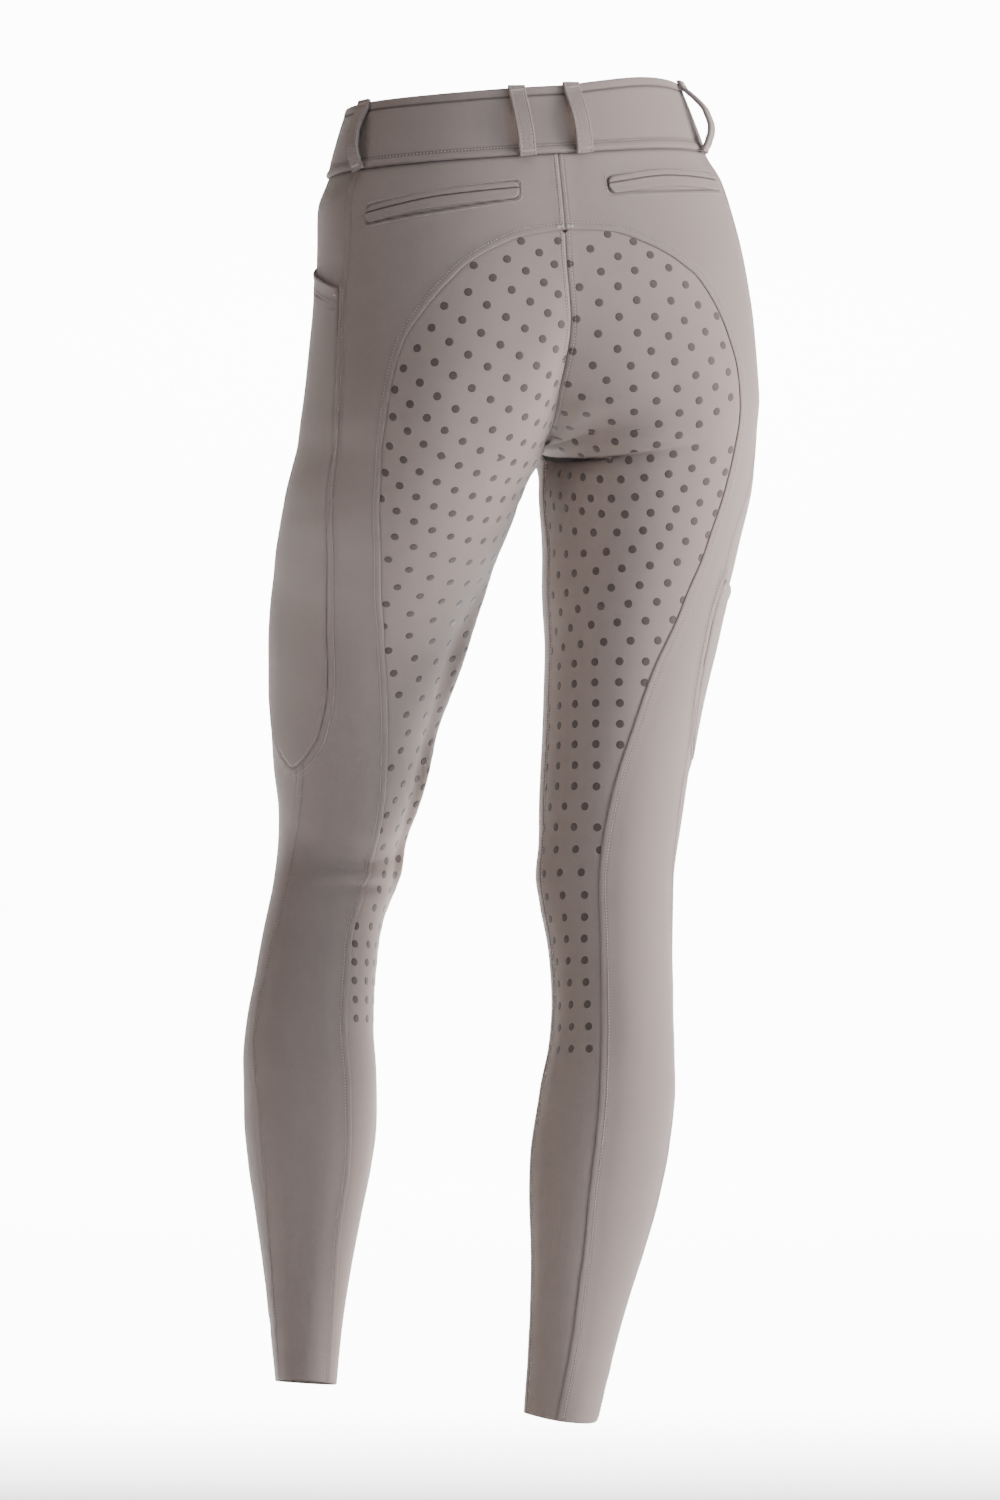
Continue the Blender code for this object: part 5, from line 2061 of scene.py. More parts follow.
@dataclass
class BackWelt:
    """A back pocket: two folded lips round a slit."""

    side: Side
    slit_at: float = 4.6
    height: float = 12.4
    gap: float = 0.3
    lift: float = 1.35
    corner: float = 6.5
    corner_power: float = 2.6
    end_power: float = 0.42
    ring_level: float = -76.0       # the ring of cloth that the welt's length is measured on

    def top(self, turn: Array) -> Array:
        """Returns the level of the welt's top at given turns."""
        welt = BACK_WELTS[self.side]
        knots = welt.inner_turn, (welt.inner_turn + welt.outer_turn) / 2, welt.outer_turn
        return follow(knots, (welt.inner_level, welt.middle_level, welt.outer_level), turn)

    def measures(self) -> tuple[float, float, float]:
        """Measures the welt along its ring of cloth.

        Returns:
            The ring's length, the turn of the welt's middle and half the welt's length.
        """
        welt = BACK_WELTS[self.side]
        length = FORM.ring_length(self.side, np.array([self.ring_level]))[0]
        middle = (welt.inner_turn + welt.outer_turn) / 2
        return length, middle, (welt.outer_turn - welt.inner_turn) / 2 * length

    def outline(self, grow: float = 0.0) -> Line:
        """Draws the welt's outline: straight sides and round ends.

        Args:
            grow: how far outside the welt the line runs.

        Returns:
            A closed line.
        """
        welt = BACK_WELTS[self.side]
        length, middle, half = self.measures()
        radius, half = self.height / 2 + grow, half + grow
        angle = np.linspace(0, 2 * math.pi, 241)
        cosine, sine = np.cos(angle), np.sin(angle)
        round_end = np.sign(cosine) * np.abs(cosine) ** self.end_power * radius
        across = round_end + np.sign(cosine) * (half - radius)
        down = np.sign(sine) * np.abs(sine) ** self.end_power * radius
        turn = middle + across / length
        at = np.clip(turn, welt.inner_turn, welt.outer_turn)
        return Line(self.side, self.top(at) - self.height / 2 + down, turn)

    def lip(self, upper: bool) -> Panel:
        """Builds one lip.

        Args:
            upper: whether it is the narrow upper lip.

        Returns:
            Its panel.
        """
        length, middle, half = self.measures()
        across = np.sin(np.linspace(-1, 1, 61) * math.pi / 2) * half
        turn = middle + across / length
        from_end = half - np.abs(across)
        rounded = 1 - np.clip(1 - from_end / self.corner, 0, 1) ** self.corner_power
        centre = self.top(turn) - self.height / 2
        bow = self.height / 2 * np.maximum(rounded, 0.02) ** (1 / self.corner_power)
        slit = centre + self.height / 2 - self.slit_at
        slit = np.clip(slit, centre - bow + 0.2, centre + bow - 0.2)
        first = centre + bow if upper else slit - self.gap / 2
        last = slit + self.gap / 2 if upper else centre - bow
        edges = (Line(self.side, last, turn), Line(self.side, first, turn))
        # Painted shade: light along the lip's outer edge, dark along the slit.
        shape = (0, 0.35, 0.9, 1.6, 2.6), (-0.75, -0.28, -0.02, 0.08, 0.0)
        edge, slit_edge = (Profile(*shape, shade_width=0.45, shade=dark) for dark in (0.25, 0.9))
        below, above = (slit_edge, edge) if upper else (edge, slit_edge)
        relief = Relief(SeamRelief(edges[0].trace(), below), SeamRelief(edges[1].trace(), above))
        name = "back_pocket_welt_%s_%s" % ("upper" if upper else "lower", self.side.value)
        return Panel(name, edges, Surface(relief, self.lift), wall=1.15, step=1.2)


@dataclass
class Waistband:
    """The waistband: a doubled strip round the top, in one back piece and two front pieces."""

    height: float = 49.7
    wall: float = 1.2
    column_step: float = 3.0
    top_row: float = 7.0
    bottom_row: float = 43.7
    inset: float = 0.15
    pucker: float = 0.07
    top_roll: float = 1.1           # how far the wall rolls outwards at its two edges
    low_roll: float = 0.7
    end_gap: float = 0.004          # turns between the end of a piece and its sewing
    ring_level: float = -25.0       # the ring of cloth that the band's length is measured on
    distances: tuple[float, ...] = (
        0, 0.5, 1.1, 2.0, 3.6, 5.4, 6.2, 7.0, 7.8, 8.8, 11, 15, 20, 25, 30, 35, 39, 41.5, 42.8,
        43.7, 44.6, 45.6, 46.8, 48.0, 48.9, 49.4, 49.7)
    knots: tuple[float, ...] = (
        0, 0.5, 1.1, 2.0, 3.6, 5.4, 7.0, 8.8, 11, 20, 36, 42, 43.7, 45.2, 46.8, 48.0, 49.1, 49.7)
    lifts: tuple[float, ...] = (
        0.2, 0.95, 1.25, 1.4, 1.42, 1.3, 0.92, 1.28, 1.38, 1.42, 1.38, 1.2, 0.82, 1.45, 2.05, 2.15,
        1.75, 0.9)

    def length(self, side: Side) -> float:
        """Returns the band's length from the centre back to the centre front."""
        return FORM.ring_length(side, np.array([self.ring_level]))[0]

    def lift(self, down: Array) -> Array:
        """Returns how far the band's face stands off the cloth, at distances from the top."""
        return follow(self.knots, self.lifts, down)

    def ripple(self, side: Side, down: Array, turn: Array) -> Array:
        """Puckers the band a little at its two rows of stitches.

        The ripple is two sines along the band times a Gaussian round each row.

        Args:
            side: which half of the garment.
            down: distances from the top.
            turn: turns.

        Returns:
            Heights in millimetres.
        """
        along = turn * self.length(side) * side.sign
        wave = sum(share * np.sin(along / length + phase)
                   for share, length, phase in ((0.6, 1.3, 0), (0.5, 3.1, 0.8), (0.5, 8.7, 0)))
        near = (np.exp(-((down - self.top_row) / 2.2) ** 2)
                + np.exp(-((down - self.bottom_row) / 3.0) ** 2))
        return self.pucker * wave * near

    def face(self, side: Side, turn: Array, down: Array) -> tuple[Array, Array, Array]:
        """Finds places on the band's face.

        Args:
            side: which half of the garment.
            turn: turns.
            down: distances from the top.

        Returns:
            Outer points, inner points and ways out.
        """
        bare = FORM.point(side, -down, turn, 0.0)
        outward = FORM.normal(side, -down, turn, 0.0)
        outer = bare + outward * (self.lift(down) + self.ripple(side, down, turn))[..., None]
        roll = (self.top_roll * (1 - ease(0.0, 1.6, down))
                + self.low_roll * ease(self.height - 1.4, self.height, down))
        return outer, bare - outward * (self.wall - roll)[..., None], outward

    def stretch(self, side: Side, first: float, last: float) -> tuple[Array, Array, Array, Array]:
        """Grids a stretch of the band on one side.

        Args:
            side: which half of the garment.
            first: turn where it starts.
            last: turn where it ends.

        Returns:
            Outer points, inner points, places on the flat cloth and painted shade.
        """
        length = self.length(side)
        count = max(8, int(abs(last - first) * length / coarse(self.column_step)))
        turn = np.linspace(first, last, count + 1)[None, :] + np.zeros((len(self.distances), 1))
        down = np.array(self.distances)[:, None] + np.zeros((1, count + 1))
        outer, inner, _ = self.face(side, turn, down)
        uv = np.stack([turn * length * side.sign, -down], -1)
        # Painted shade along both rows of stitches and at the band's lower edge.
        rows = (0.8 * np.exp(-((down - self.top_row) / 0.9) ** 2)
                + 0.6 * np.exp(-((down - self.bottom_row) / 1.1) ** 2))
        return outer, inner, uv, rows + 0.4 * ease(self.height - 0.6, self.height, down)

    def sewn(self, side: Side, first: float, last: float, upper: bool) -> Stitches:
        """Sews a row round a stretch of the band.

        Args:
            side: which half of the garment.
            first: turn where it starts.
            last: turn where it ends.
            upper: whether it is the sunk row along the top.

        Returns:
            The stitches.
        """
        down, length, sink = (self.top_row, 1.55, 0.12) if upper else (self.bottom_row, 1.8, 0.02)
        turn = np.linspace(first, last, int(abs(last - first) * self.length(side) / PITCH) + 1)
        points, _, outward = self.face(side, turn, np.full(turn.shape, down))
        row = laid_between(points, outward, length)
        return row._replace(centre=row.centre - row.outward * sink)

    def pieces(self) -> list[tuple[str, MeshData, list[Stitches], list[Stitches]]]:
        """Builds the three pieces.

        Returns:
            For each: its name, mesh data, light stitches and dark stitches shown in painted shade.
        """
        middle = np.array([-self.height / 2])
        gap = self.inset / FORM.ring_length(Side.LEFT, middle)[0]
        seam = {side: getattr(SIDE_SEAM[0], side.value) for side in Side}
        left = self.stretch(Side.LEFT, seam[Side.LEFT] - gap, 0.0)
        right = self.stretch(Side.RIGHT, 0.0, seam[Side.RIGHT] - gap)
        outer, inner, uv, shade = (np.concatenate([a, b[:, 1:]], axis=1)
                                   for a, b in zip(left, right))
        spans = ((Side.LEFT, seam[Side.LEFT] - gap - self.end_gap, 0.0),
                 (Side.RIGHT, 0.0, seam[Side.RIGHT] - gap - self.end_gap))
        made = [("waistband_back", closed_wall(outer, inner, True, uv, shade),
                 *([self.sewn(*span, upper) for span in spans] for upper in (False, True)))]
        for side in Side:
            first, last = seam[side] + gap, 1 - gap
            outer, inner, uv, shade = self.stretch(side, first, last)
            made.append(("waistband_front_" + side.value,
                         closed_wall(outer, inner, side is Side.RIGHT, uv, shade),
                         *([self.sewn(side, first + self.end_gap, last - self.end_gap, upper)]
                           for upper in (False, True))))
        return made


@dataclass
class BeltLoop:
    """A folded strip that stands off the waistband between its two sewn ends."""

    place: LoopPlace
    band: Waistband
    width: float = 12.6
    wall: float = 2.6
    levels: tuple[float, ...] = (
        0.9, 0.0, -2.0, -5.0, -10.0, -17.0, -26.0, -35.0, -42.0, -46.0, -49.0, -51.2)
    stand_off: tuple[float, ...] = (0.0, 0.1, 0.3, 0.8, 2.4, 5.0, 7.4, 7.8, 6.2, 3.6, 1.0, 0.2)
    slant_end: float = 49.2     # how far down the loop reaches its lower turn
    band_face: tuple[float, float] = (2.0, 48.5)    # the part of the band that it stands off
    row_at: float = 3.9         # from the middle to a row of stitches
    tack_reach: float = 4.4     # from the middle to the end of a bar tack

    def path(self, count: int = 44) -> tuple[Array, Array, Array, Array]:
        """Runs the middle of the loop's back face down the band.

        Args:
            count: how many points.

        Returns:
            Points, ways along, ways sideways and ways out.
        """
        knots = -np.array(self.levels)
        down = np.linspace(knots[0], knots[-1], count)
        place, side = self.place, self.place.side
        off = follow(knots, self.stand_off, down) * place.slack
        off = off + self.band.lift(np.clip(down, *self.band_face))
        held = np.clip(down, 0, None)
        share = np.clip(held / self.slant_end, 0, 1.08)
        turn = place.top_turn + (place.bottom_turn - place.top_turn) * share
        surface = FORM.point(side, -held, turn, 0.0)
        surface = surface + (held - down)[:, None] * UP
        outward = FORM.normal(side, -held, turn, 0.0)
        middle = surface + outward * off[:, None]
        along = unit(np.gradient(middle, axis=0))
        onward, backward = (
            FORM.point(side, np.array([-self.band.height / 2]), np.array([turn.mean() + step]), 0.0)
            for step in (FORM.turn_step, -FORM.turn_step))
        level_way = unit(onward - backward)[0]
        sideways = unit(level_way - along * (along @ level_way)[:, None])
        return middle, along, sideways, unit(np.cross(sideways, along)) * side.sign

    def section(self) -> Array:
        """Draws the loop's cross section: flat behind, two folded edges and a shallow channel.

        Returns:
            Sideways and outward distances round the section.
        """
        half, wall = self.width / 2, self.wall
        front = [(-half, 0.9), (-half + 0.15, wall), (-half + 0.7, wall + 0.3),
                 (-half + 1.5, wall + 0.3), (-half + 2.1, wall - 0.05),
                 (-half + 2.8, wall + 0.16), (-1.6, wall + 0.12), (0, wall + 0.1)]
        mirrored = [(-x, y) for x, y in front[-2::-1]]
        behind = [(half - 0.3, 0.1), (half - 1.2, 0.0), (0, 0.0), (-half + 1.2, 0.0),
                  (-half + 0.3, 0.1)]
        return np.array(front + mirrored + behind)

    def mesh(self) -> MeshData:
        """Sweeps the section along the path, its ends closed.

        Returns:
            The mesh's data.
        """
        middle, _, sideways, outward = self.path()
        section = self.section()
        points = (middle[:, None] + sideways[:, None] * section[None, :, :1]
                  + outward[:, None] * section[None, :, 1:])
        rows, columns = points.shape[:2]
        faces = grid_faces(rows, columns, closed=True)
        ring = np.arange(columns)
        ends = np.stack([ring[::-1], ring + (rows - 1) * columns])
        if self.place.side is Side.LEFT:
            faces, ends = faces[:, ::-1], ends[:, ::-1]
        uv = np.stack(np.broadcast_arrays(travelled(section)[None, :],
                                          -travelled(middle)[:, None]), -1)
        # Painted shade on the loop's back face, which lies in shadow against the band.
        shade = np.where(section[:, 1] < self.wall * 0.5, 0.25, 0.0)[None, :] + np.zeros((rows, 1))
        return MeshData(points.reshape(-1, 3), [faces, ends], uv.reshape(-1, 2), shade.ravel())

    def sewing(self) -> list[Stitches]:
        """Sews a row inside both edges and a bar tack at both ends.

        Returns:
            The stitches.
        """
        middle, along, sideways, outward = self.path(200)
        far = travelled(middle)

        def stitches(where: Array, across: Array, lift: float, length: float) -> Stitches:
            """Lays stitches along the loop.

            Args:
                where: how far down the loop each is.
                across: how far beside its middle.
                lift: height above its face.
                length: of each stitch.

            Returns:
                The stitches.
            """
            centre, way, aside, out = (
                np.stack([np.interp(where, far, values[:, axis]) for axis in range(3)], -1)
                for values in (middle, along, sideways, outward))
            centre = centre + aside * across[:, None] + out * (self.wall + lift)
            return Stitches(centre, unit(way), unit(out), np.full(len(where), length))

        down = np.arange(4.0, far[-1] - 4.0, PITCH)
        rows = [stitches(down, np.full(len(down), shift), -0.02, 1.75)
                for shift in (-self.row_at, self.row_at)]
        across = np.linspace(-self.tack_reach, self.tack_reach, 16)
        return rows + [stitches(np.full(len(across), end), across, 0.12, 2.0)
                       for end in (4.2, far[-1] - 4.6)]


@dataclass
class WaistButton:
    """A four-hole button on the left front of the waistband, sewn with a cross."""

    level: float = -24.0
    turn: float = 0.955
    diameter: float = 15.0
    height: float = 2.6
    off: float = 2.1
    dish: float = 0.75      # how far the face lies under the rim
    hole_out: float = 2.1
    hole: float = 1.0
    pit: float = 1.1        # how deep the holes are shown
    rings: int = 26
    sides: int = 72

    def frame(self) -> tuple[Array, Array, Array, Array]:
        """Finds where the button sits.

        Returns:
            The middle of its back, and its ways across, up and out.
        """
        level, turn = np.array([self.level]), np.array([self.turn])
        outward = FORM.normal(Side.LEFT, level, turn, 0.0)[0]
        across = unit(np.cross(UP, outward))
        up = np.cross(outward, across)
        return FORM.point(Side.LEFT, level, turn, 0.0)[0] + outward * self.off, across, up, outward

    def mesh(self) -> MeshData:
        """Turns the button's profile, then sinks four pits into its face.

        The profile runs from the middle of the back, round the rim, to the middle of the
        face. Each pit goes down along a smooth step to a flat floor.

        Returns:
            The mesh's data.
        """
        radius = self.diameter / 2
        face_out = np.linspace(0, radius - 1.6, self.rings)[::-1]
        profile = np.array([(0.01, 0.15), (radius - 1.4, 0.0), (radius - 0.4, 0.3), (radius, 1.0),
                            (radius - 0.1, 1.7), (radius - 0.6, self.height),
                            (radius - 1.2, self.height - 0.1)])
        face_high = self.height - self.dish + 0.35 * (face_out / radius) ** 6
        out = np.concatenate([profile[:, 0], face_out])
        high = np.concatenate([profile[:, 1], face_high])
        angle = np.arange(self.sides) * 2 * math.pi / self.sides
        x = out[:, None] * np.cos(angle)[None]
        y = out[:, None] * np.sin(angle)[None]
        z = high[:, None] + np.zeros((1, self.sides))
        on_face = (np.arange(len(out)) >= len(profile))[:, None]
        for turn in (45, 135, 225, 315):
            way = math.radians(turn)
            far = np.hypot(x - self.hole_out * math.cos(way), y - self.hole_out * math.sin(way))
            z = z - on_face * self.pit * (1 - ease(self.hole * 0.72, self.hole * 1.12, far))
        origin, across, up, outward = self.frame()
        points = origin + x[..., None] * across + y[..., None] * up + z[..., None] * outward
        rows, columns = x.shape
        poles = np.stack([points[0].mean(axis=0), points[-1].mean(axis=0)])
        faces = grid_faces(rows, columns, closed=True)
        count = rows * columns
        ring = np.arange(columns)
        following = np.roll(ring, -1)
        last = count - columns
        caps = np.concatenate([
            np.stack([np.full(columns, count), ring, following], 1),
            np.stack([np.full(columns, count + 1), following + last, ring + last], 1)])
        return MeshData(np.concatenate([points.reshape(-1, 3), poles]),
                        [faces[:, ::-1], caps[:, ::-1]])

    def sewing(self) -> list[Stitches]:
        """Sews a cross through the holes.

        Returns:
            The stitches.
        """
        origin, across, up, outward = self.frame()
        centre, along = [], []
        for tilt in (45, 135):
            way = across * math.cos(math.radians(tilt)) + up * math.sin(math.radians(tilt))
            side = np.cross(way, outward)
            for shift in (-0.32, 0.0, 0.32):
                centre.append(origin + outward * (self.height - 0.45) + side * shift)
                along.append(way)
        return [Stitches(np.stack(centre), np.stack(along), np.tile(outward, (len(along), 1)),
                         np.full(len(along), 5.6))]


@dataclass
class GripPrint:
    """Raised silicone dots printed on a seat panel."""

    side: Side
    surface: Surface
    radius: float = 3.15
    height: float = 0.2
    sides: int = 14
    margin: float = 0.45
    columns: tuple[int, int] = (-4, 15)
    leans: tuple[float, float] = (-14.0, 48.0)      # least and greatest lean of a row
    slope_steps: tuple[float, float] = (2.4, 0.009)     # over which the cloth's slopes are taken
    crease_gap: tuple[float, float] = (0.3, 0.5)    # from the crease down, and up, to a dot
    rings: tuple[tuple[float, float], ...] = (
        (0.0, 1.0), (0.5, 0.98), (0.86, 0.88), (0.97, 0.45), (1.0, -0.8))   # shares out and up

    def centres(self) -> tuple[Array, Array, Array]:
        """Works out where the dots are.

        Every row runs both ways from its known dot; the way a row leans changes from dot
        to dot, and its height is the sum of the sines of its leans.

        Returns:
            Levels and turns of the dots on the panel, and whether each is under the seat.
        """
        table = GRIP_ROWS[self.side]
        rows = np.arange(int(table[0].row), int(table[-1].row) + 1)
        knots = column(table, "row")
        first, x, level, pitch, tilt, curl = (
            follow(knots, column(table, name), rows)[:, None]
            for name in ("column", "x", "level", "pitch", "tilt", "curl"))
        number = np.arange(self.columns[0], self.columns[1] + 1)[None, :]
        away = number - np.round(first)
        share = np.linspace(0, 1, 9)[:, None, None]
        lean = np.radians(np.clip(tilt + curl * away * share, *self.leans))
        x = (x + away * pitch * np.cos(lean).mean(axis=0)).ravel()
        level = (level + away * pitch * np.sin(lean).mean(axis=0)).ravel()
        turn = FLAT[self.side].turn(level, x)
        held_level, held_turn = self.held(level, turn)
        length = FORM.ring_length(self.side, level)
        near = np.hypot(held_level - level, (held_turn - turn) * length) < 0.4
        beyond = turn > by_level(SEAT_SEAM, self.side.value, level)
        kept = near & ~beyond & (level < SEAT_SEAM[0].level - 1.5) & (turn > 0)
        low = np.broadcast_to(rows[:, None] >= FIRST_ROW_UNDER_SEAT, away.shape).ravel()
        if self.side is Side.RIGHT:
            kept &= (level < under_seat(self.side, "level", turn)) == low
        return level[kept], turn[kept], low[kept]

    def round_about(self, level: Array, turn: Array, out: Array,
                    angle: Array) -> tuple[Array, Array]:
        """Finds places on circles that are round on the worn cloth.

        The cloth's slopes with level and turn at each centre give a frame that lies in the
        cloth, and a step in that frame is turned back into a level and a turn.

        Args:
            level: levels of the centres.
            turn: their turns.
            out: distances from the centre.
            angle: angles round it.

        Returns:
            Levels and turns.
        """
        reach, share = self.slope_steps
        above, under = (FORM.point(self.side, level + step, turn) for step in (reach, -reach))
        onward, backward = (FORM.point(self.side, level, turn + step) for step in (share, -share))
        down, around = (above - under) / (2 * reach), (onward - backward) / (2 * share)
        width = np.linalg.norm(around, axis=-1)
        sheared = (down * around).sum(axis=-1) / width
        upright = np.sqrt(np.maximum((down ** 2).sum(axis=-1) - sheared ** 2, 0.04))
        rise = out * np.sin(angle) / upright
        return level + rise, turn + (out * np.cos(angle) - rise * sheared) / width

    def held(self, level: Array, turn: Array) -> tuple[Array, Array]:
        """Holds places inside the panel's seams.

        Args:
            level: levels in millimetres.
            turn: turns.

        Returns:
            Levels and turns no nearer to a seam than the margin.
        """
        length = FORM.ring_length(self.side, level)
        gap = self.margin / length
        turns, levels = column(ARCH, self.side.value), column(ARCH, "level")
        arch = follow(turns, levels, np.clip(turn, 0, turns[-1]))
        level = np.where(turn < turns[-1], np.minimum(level, arch - self.margin), level)
        edge = by_level(SEAT_SEAM, self.side.value, level)
        turn = np.where(level < ARCH_LEVEL, np.minimum(turn, edge - gap), turn)
        return level, np.maximum(turn, gap)

    def mesh(self) -> MeshData:
        """Raises a flat, round-edged disc at every dot, closed under the cloth's face.

        A disc keeps most of its height until close to its rim, then drops below the cloth.

        Returns:
            The mesh's data.
        """
        level, turn, low = self.centres()
        angle = (np.arange(self.sides) * 2 * math.pi / self.sides)[None, None, :]
        out, high = (np.array(shares)[None, :, None] for shares in zip(*self.rings))
        levels, turns = self.round_about(level[:, None, None], turn[:, None, None],
                                         self.radius * out, angle)
        if self.side is Side.RIGHT:
            crease = under_seat(self.side, "level", turns)
            below, above = self.crease_gap
            levels = np.where(low[:, None, None], np.minimum(levels, crease - below),
                              np.maximum(levels, crease + above))
        held_levels, held_turns = self.held(levels.ravel(), turns.ravel())
        points, outward = self.surface.place(self.side, held_levels, held_turns)
        upright = outward.reshape(levels.shape + (3,))[:, :1, :1]
        raised = np.broadcast_to(high * self.height, levels.shape)[..., None]
        points = points + (upright * raised).reshape(-1, 3)
        count, bands, n = levels.shape[0], len(self.rings) - 1, self.sides
        points = points.reshape(count, bands + 1, n, 3)
        top = points[:, 0].mean(axis=1, keepdims=True)
        points = np.concatenate([top, points[:, 1:].reshape(count, bands * n, 3)], axis=1)
        ring = 1 + np.arange(n)
        fans = np.stack([np.zeros(n, int), ring, np.roll(ring, -1)], 1)
        bottom = (ring[::-1] + (bands - 1) * n)[None, :]
        blocks = [fans, ring_faces(n, bands - 1), bottom]
        if self.side is Side.LEFT:
            blocks = [block[:, ::-1] for block in blocks]
        return MeshData(points.reshape(-1, 3), repeated(blocks, count, bands * n + 1))


@dataclass
class HalfGarment:
    """The cut pieces of one side: seat, outer back and front panels, pocket and welt."""

    side: Side
    finishes: Finishes
    row_step: float = 3.0
    hem_points: int = 40

    def build(self) -> None:
        """Builds, dresses and places every piece of the side."""
        plan = SeamPlan(self.side, coarse(self.row_step))
        pocket, welt = ThighPocket(self.side), BackWelt(self.side)
        self.seat(plan)
        self.outer_back(plan, pocket, welt)
        self.front(plan, pocket)
        self.lay(pocket.panel(), "stretch_cloth")
        for upper in (True, False):
            self.lay(welt.lip(upper), "trim_cloth")

    def lay(self, panel: Panel, slot: str,
            printed: Sequence[Shown] = ()) -> None:
        """Places a panel with what is sewn or printed on it.

        Args:
            panel: the piece.
            slot: the name of its material slot.
            printed: what is printed on it.
        """
        shown = panel.show(self.finishes, slot) + [piece.place() for piece in printed]

    def seat(self, plan: SeamPlan) -> None:
        """Builds the seat panel with its grip dots.

        Args:
            plan: the panels' edges.
        """
        side, edges = self.side, plan.seat_edges()
        centre = plan.middle(Middle.BACK, plan.band_edge, 80)
        inseam = plan.inset(Middle.BACK, plan.leg_levels())
        seat = Surface(Relief(
            SeamRelief(centre.trace(), CENTRE_BACK), SeamRelief(inseam.trace(), INSEAM),
            SeamRelief(plan.seat_seam().trace(), TUCKED),
            SeamRelief(straight(*edges, -1, self.hem_points).trace(1.0), HEM)))
        low_centre = plan.middle(Middle.BACK, SEAT_SEAM[0].level, 60)
        panel = Panel("seat_panel_" + side.value, edges, seat, sewing=[
            seat.row(low_centre.beside(CENTRE_BACK.sewn_at if side is Side.LEFT else 3.0)
                     .part(1.0, -1.0)),
            seat.row(inseam.beside(-INSEAM.sewn_at).part(2.0, -3.0))])
        dots = Shown("grip_dots_" + side.value, GripPrint(side, seat).mesh(), self.finishes.grip,
                     "seat_cloth", sharp=SMALL_SHARP)
        self.lay(panel, "seat_cloth", [dots])

    def outer_back(self, plan: SeamPlan, pocket: ThighPocket, welt: BackWelt) -> None:
        """Builds the outer back panel.

        Args:
            plan: the panels' edges.
            pocket: the thigh pocket that lies on it.
            welt: the back pocket's welt.
        """
        side, edges, seat_line = self.side, plan.outer_back_edges(), plan.seat_seam()
        centre = plan.middle(Middle.BACK, plan.band_edge, 80)
        band_line = plan.band_line(0.0, getattr(SIDE_SEAM[0], side.value))
        side_line = plan.side_seam(edges[1].level)
        back = Surface(Relief(
            SeamRelief(centre.trace(), CENTRE_BACK), SeamRelief(seat_line.trace(), LAPPED),
            SeamRelief(side_line.trace(), SIDE_LAP), SeamRelief(band_line.trace(), UNDER_BAND),
            SeamRelief(pocket.hem().trace(), POCKET_BAND, pocket.outline()),
            SeamRelief(welt.outline().trace(), WELT_RING, welt.outline()),
            SeamRelief(straight(*edges, -1, self.hem_points).trace(1.0), HEM)))
        over_arch = centre.kept(centre.level > SEAT_SEAM[0].level + 2.0)
        under_pocket = side_line.kept(side_line.level < THIGH_POCKETS[side][-1].back_level - 9)
        panel = Panel("outer_back_panel_" + side.value, edges, back, step=2.7, sewing=[
            back.row(seat_line.beside(LAPPED.sewn_at).part(2.0, -3.0)),
            back.row(pocket.rows()[0].beside(-POCKET_BAND.sewn_at).part(2.0, -1.0)),
            back.row(under_pocket.beside(-SIDE_LAP.sewn_at).part(2.0, -3.0)),
            back.row(over_arch.beside(CENTRE_BACK.sewn_at).part(1.0, -1.0)),
            back.row(welt.outline(WELT_RING.sewn_at).part(0.0, -1.0)),
            back.tack(seat_line.beside(2.4).part(1.0, 6.0))])
        self.lay(panel, "stretch_cloth")

    def front(self, plan: SeamPlan, pocket: ThighPocket) -> None:
        """Builds the front panel, with the fly's stitching on the left one.

        Args:
            plan: the panels' edges.
            pocket: the thigh pocket that lies on it.
        """
        side, edges = self.side, plan.front_edges()
        centre = plan.middle(Middle.FRONT, plan.band_edge, 90)
        inseam = plan.inset(Middle.FRONT, plan.leg_levels())
        band_line = plan.band_line(getattr(SIDE_SEAM[0], side.value), 1.0)
        side_line = plan.side_seam(edges[0].level)
        front = Surface(Relief(
            SeamRelief(centre.trace(), CENTRE_FRONT), SeamRelief(inseam.trace(), INSEAM),
            SeamRelief(side_line.trace(), SIDE_TUCK), SeamRelief(band_line.trace(), UNDER_BAND),
            SeamRelief(pocket.hem().trace(), POCKET_BAND, pocket.outline()),
            SeamRelief(straight(*edges, -1, self.hem_points).trace(1.0), HEM)))
        sewing = [front.row(centre.beside(-CENTRE_FRONT.sewn_at).part(1.0, -1.0)),
                  front.row(inseam.beside(INSEAM.sewn_at).part(2.0, -3.0)),
                  front.row(pocket.rows()[1].beside(POCKET_BAND.sewn_at).part(2.0, -1.0))]
        if side is Side.LEFT:
            sewing += [front.row(self.fly()), front.tack(centre.beside(-6.0).part(108.0, 114.0))]
        panel = Panel("front_panel_" + side.value, edges, front, step=5.0, sewing=sewing)
        self.lay(panel, "stretch_cloth")

    def fly(self) -> Line:
        """Draws the fly's stitching: straight down, then round to the centre front.

        Returns:
            The line.
        """
        bend = np.linspace(0, math.pi / 2, 30)[1:]
        down = np.concatenate([np.linspace(-51, -135, 40), -135 - 30 * np.sin(bend)])
        away = np.concatenate([np.full(40, 32.0), 4.0 + 28 * np.cos(bend)])
        return Line(self.side, down, 1 - away / FORM.ring_length(self.side, down))


class Lamp(NamedTuple):
    """A light: metres ahead, aside and up from the garment's middle, watts, size and colour."""

    name: str
    ahead: float
    aside: float
    up: float
    power: float
    size: float
    colour: tuple[float, float, float]


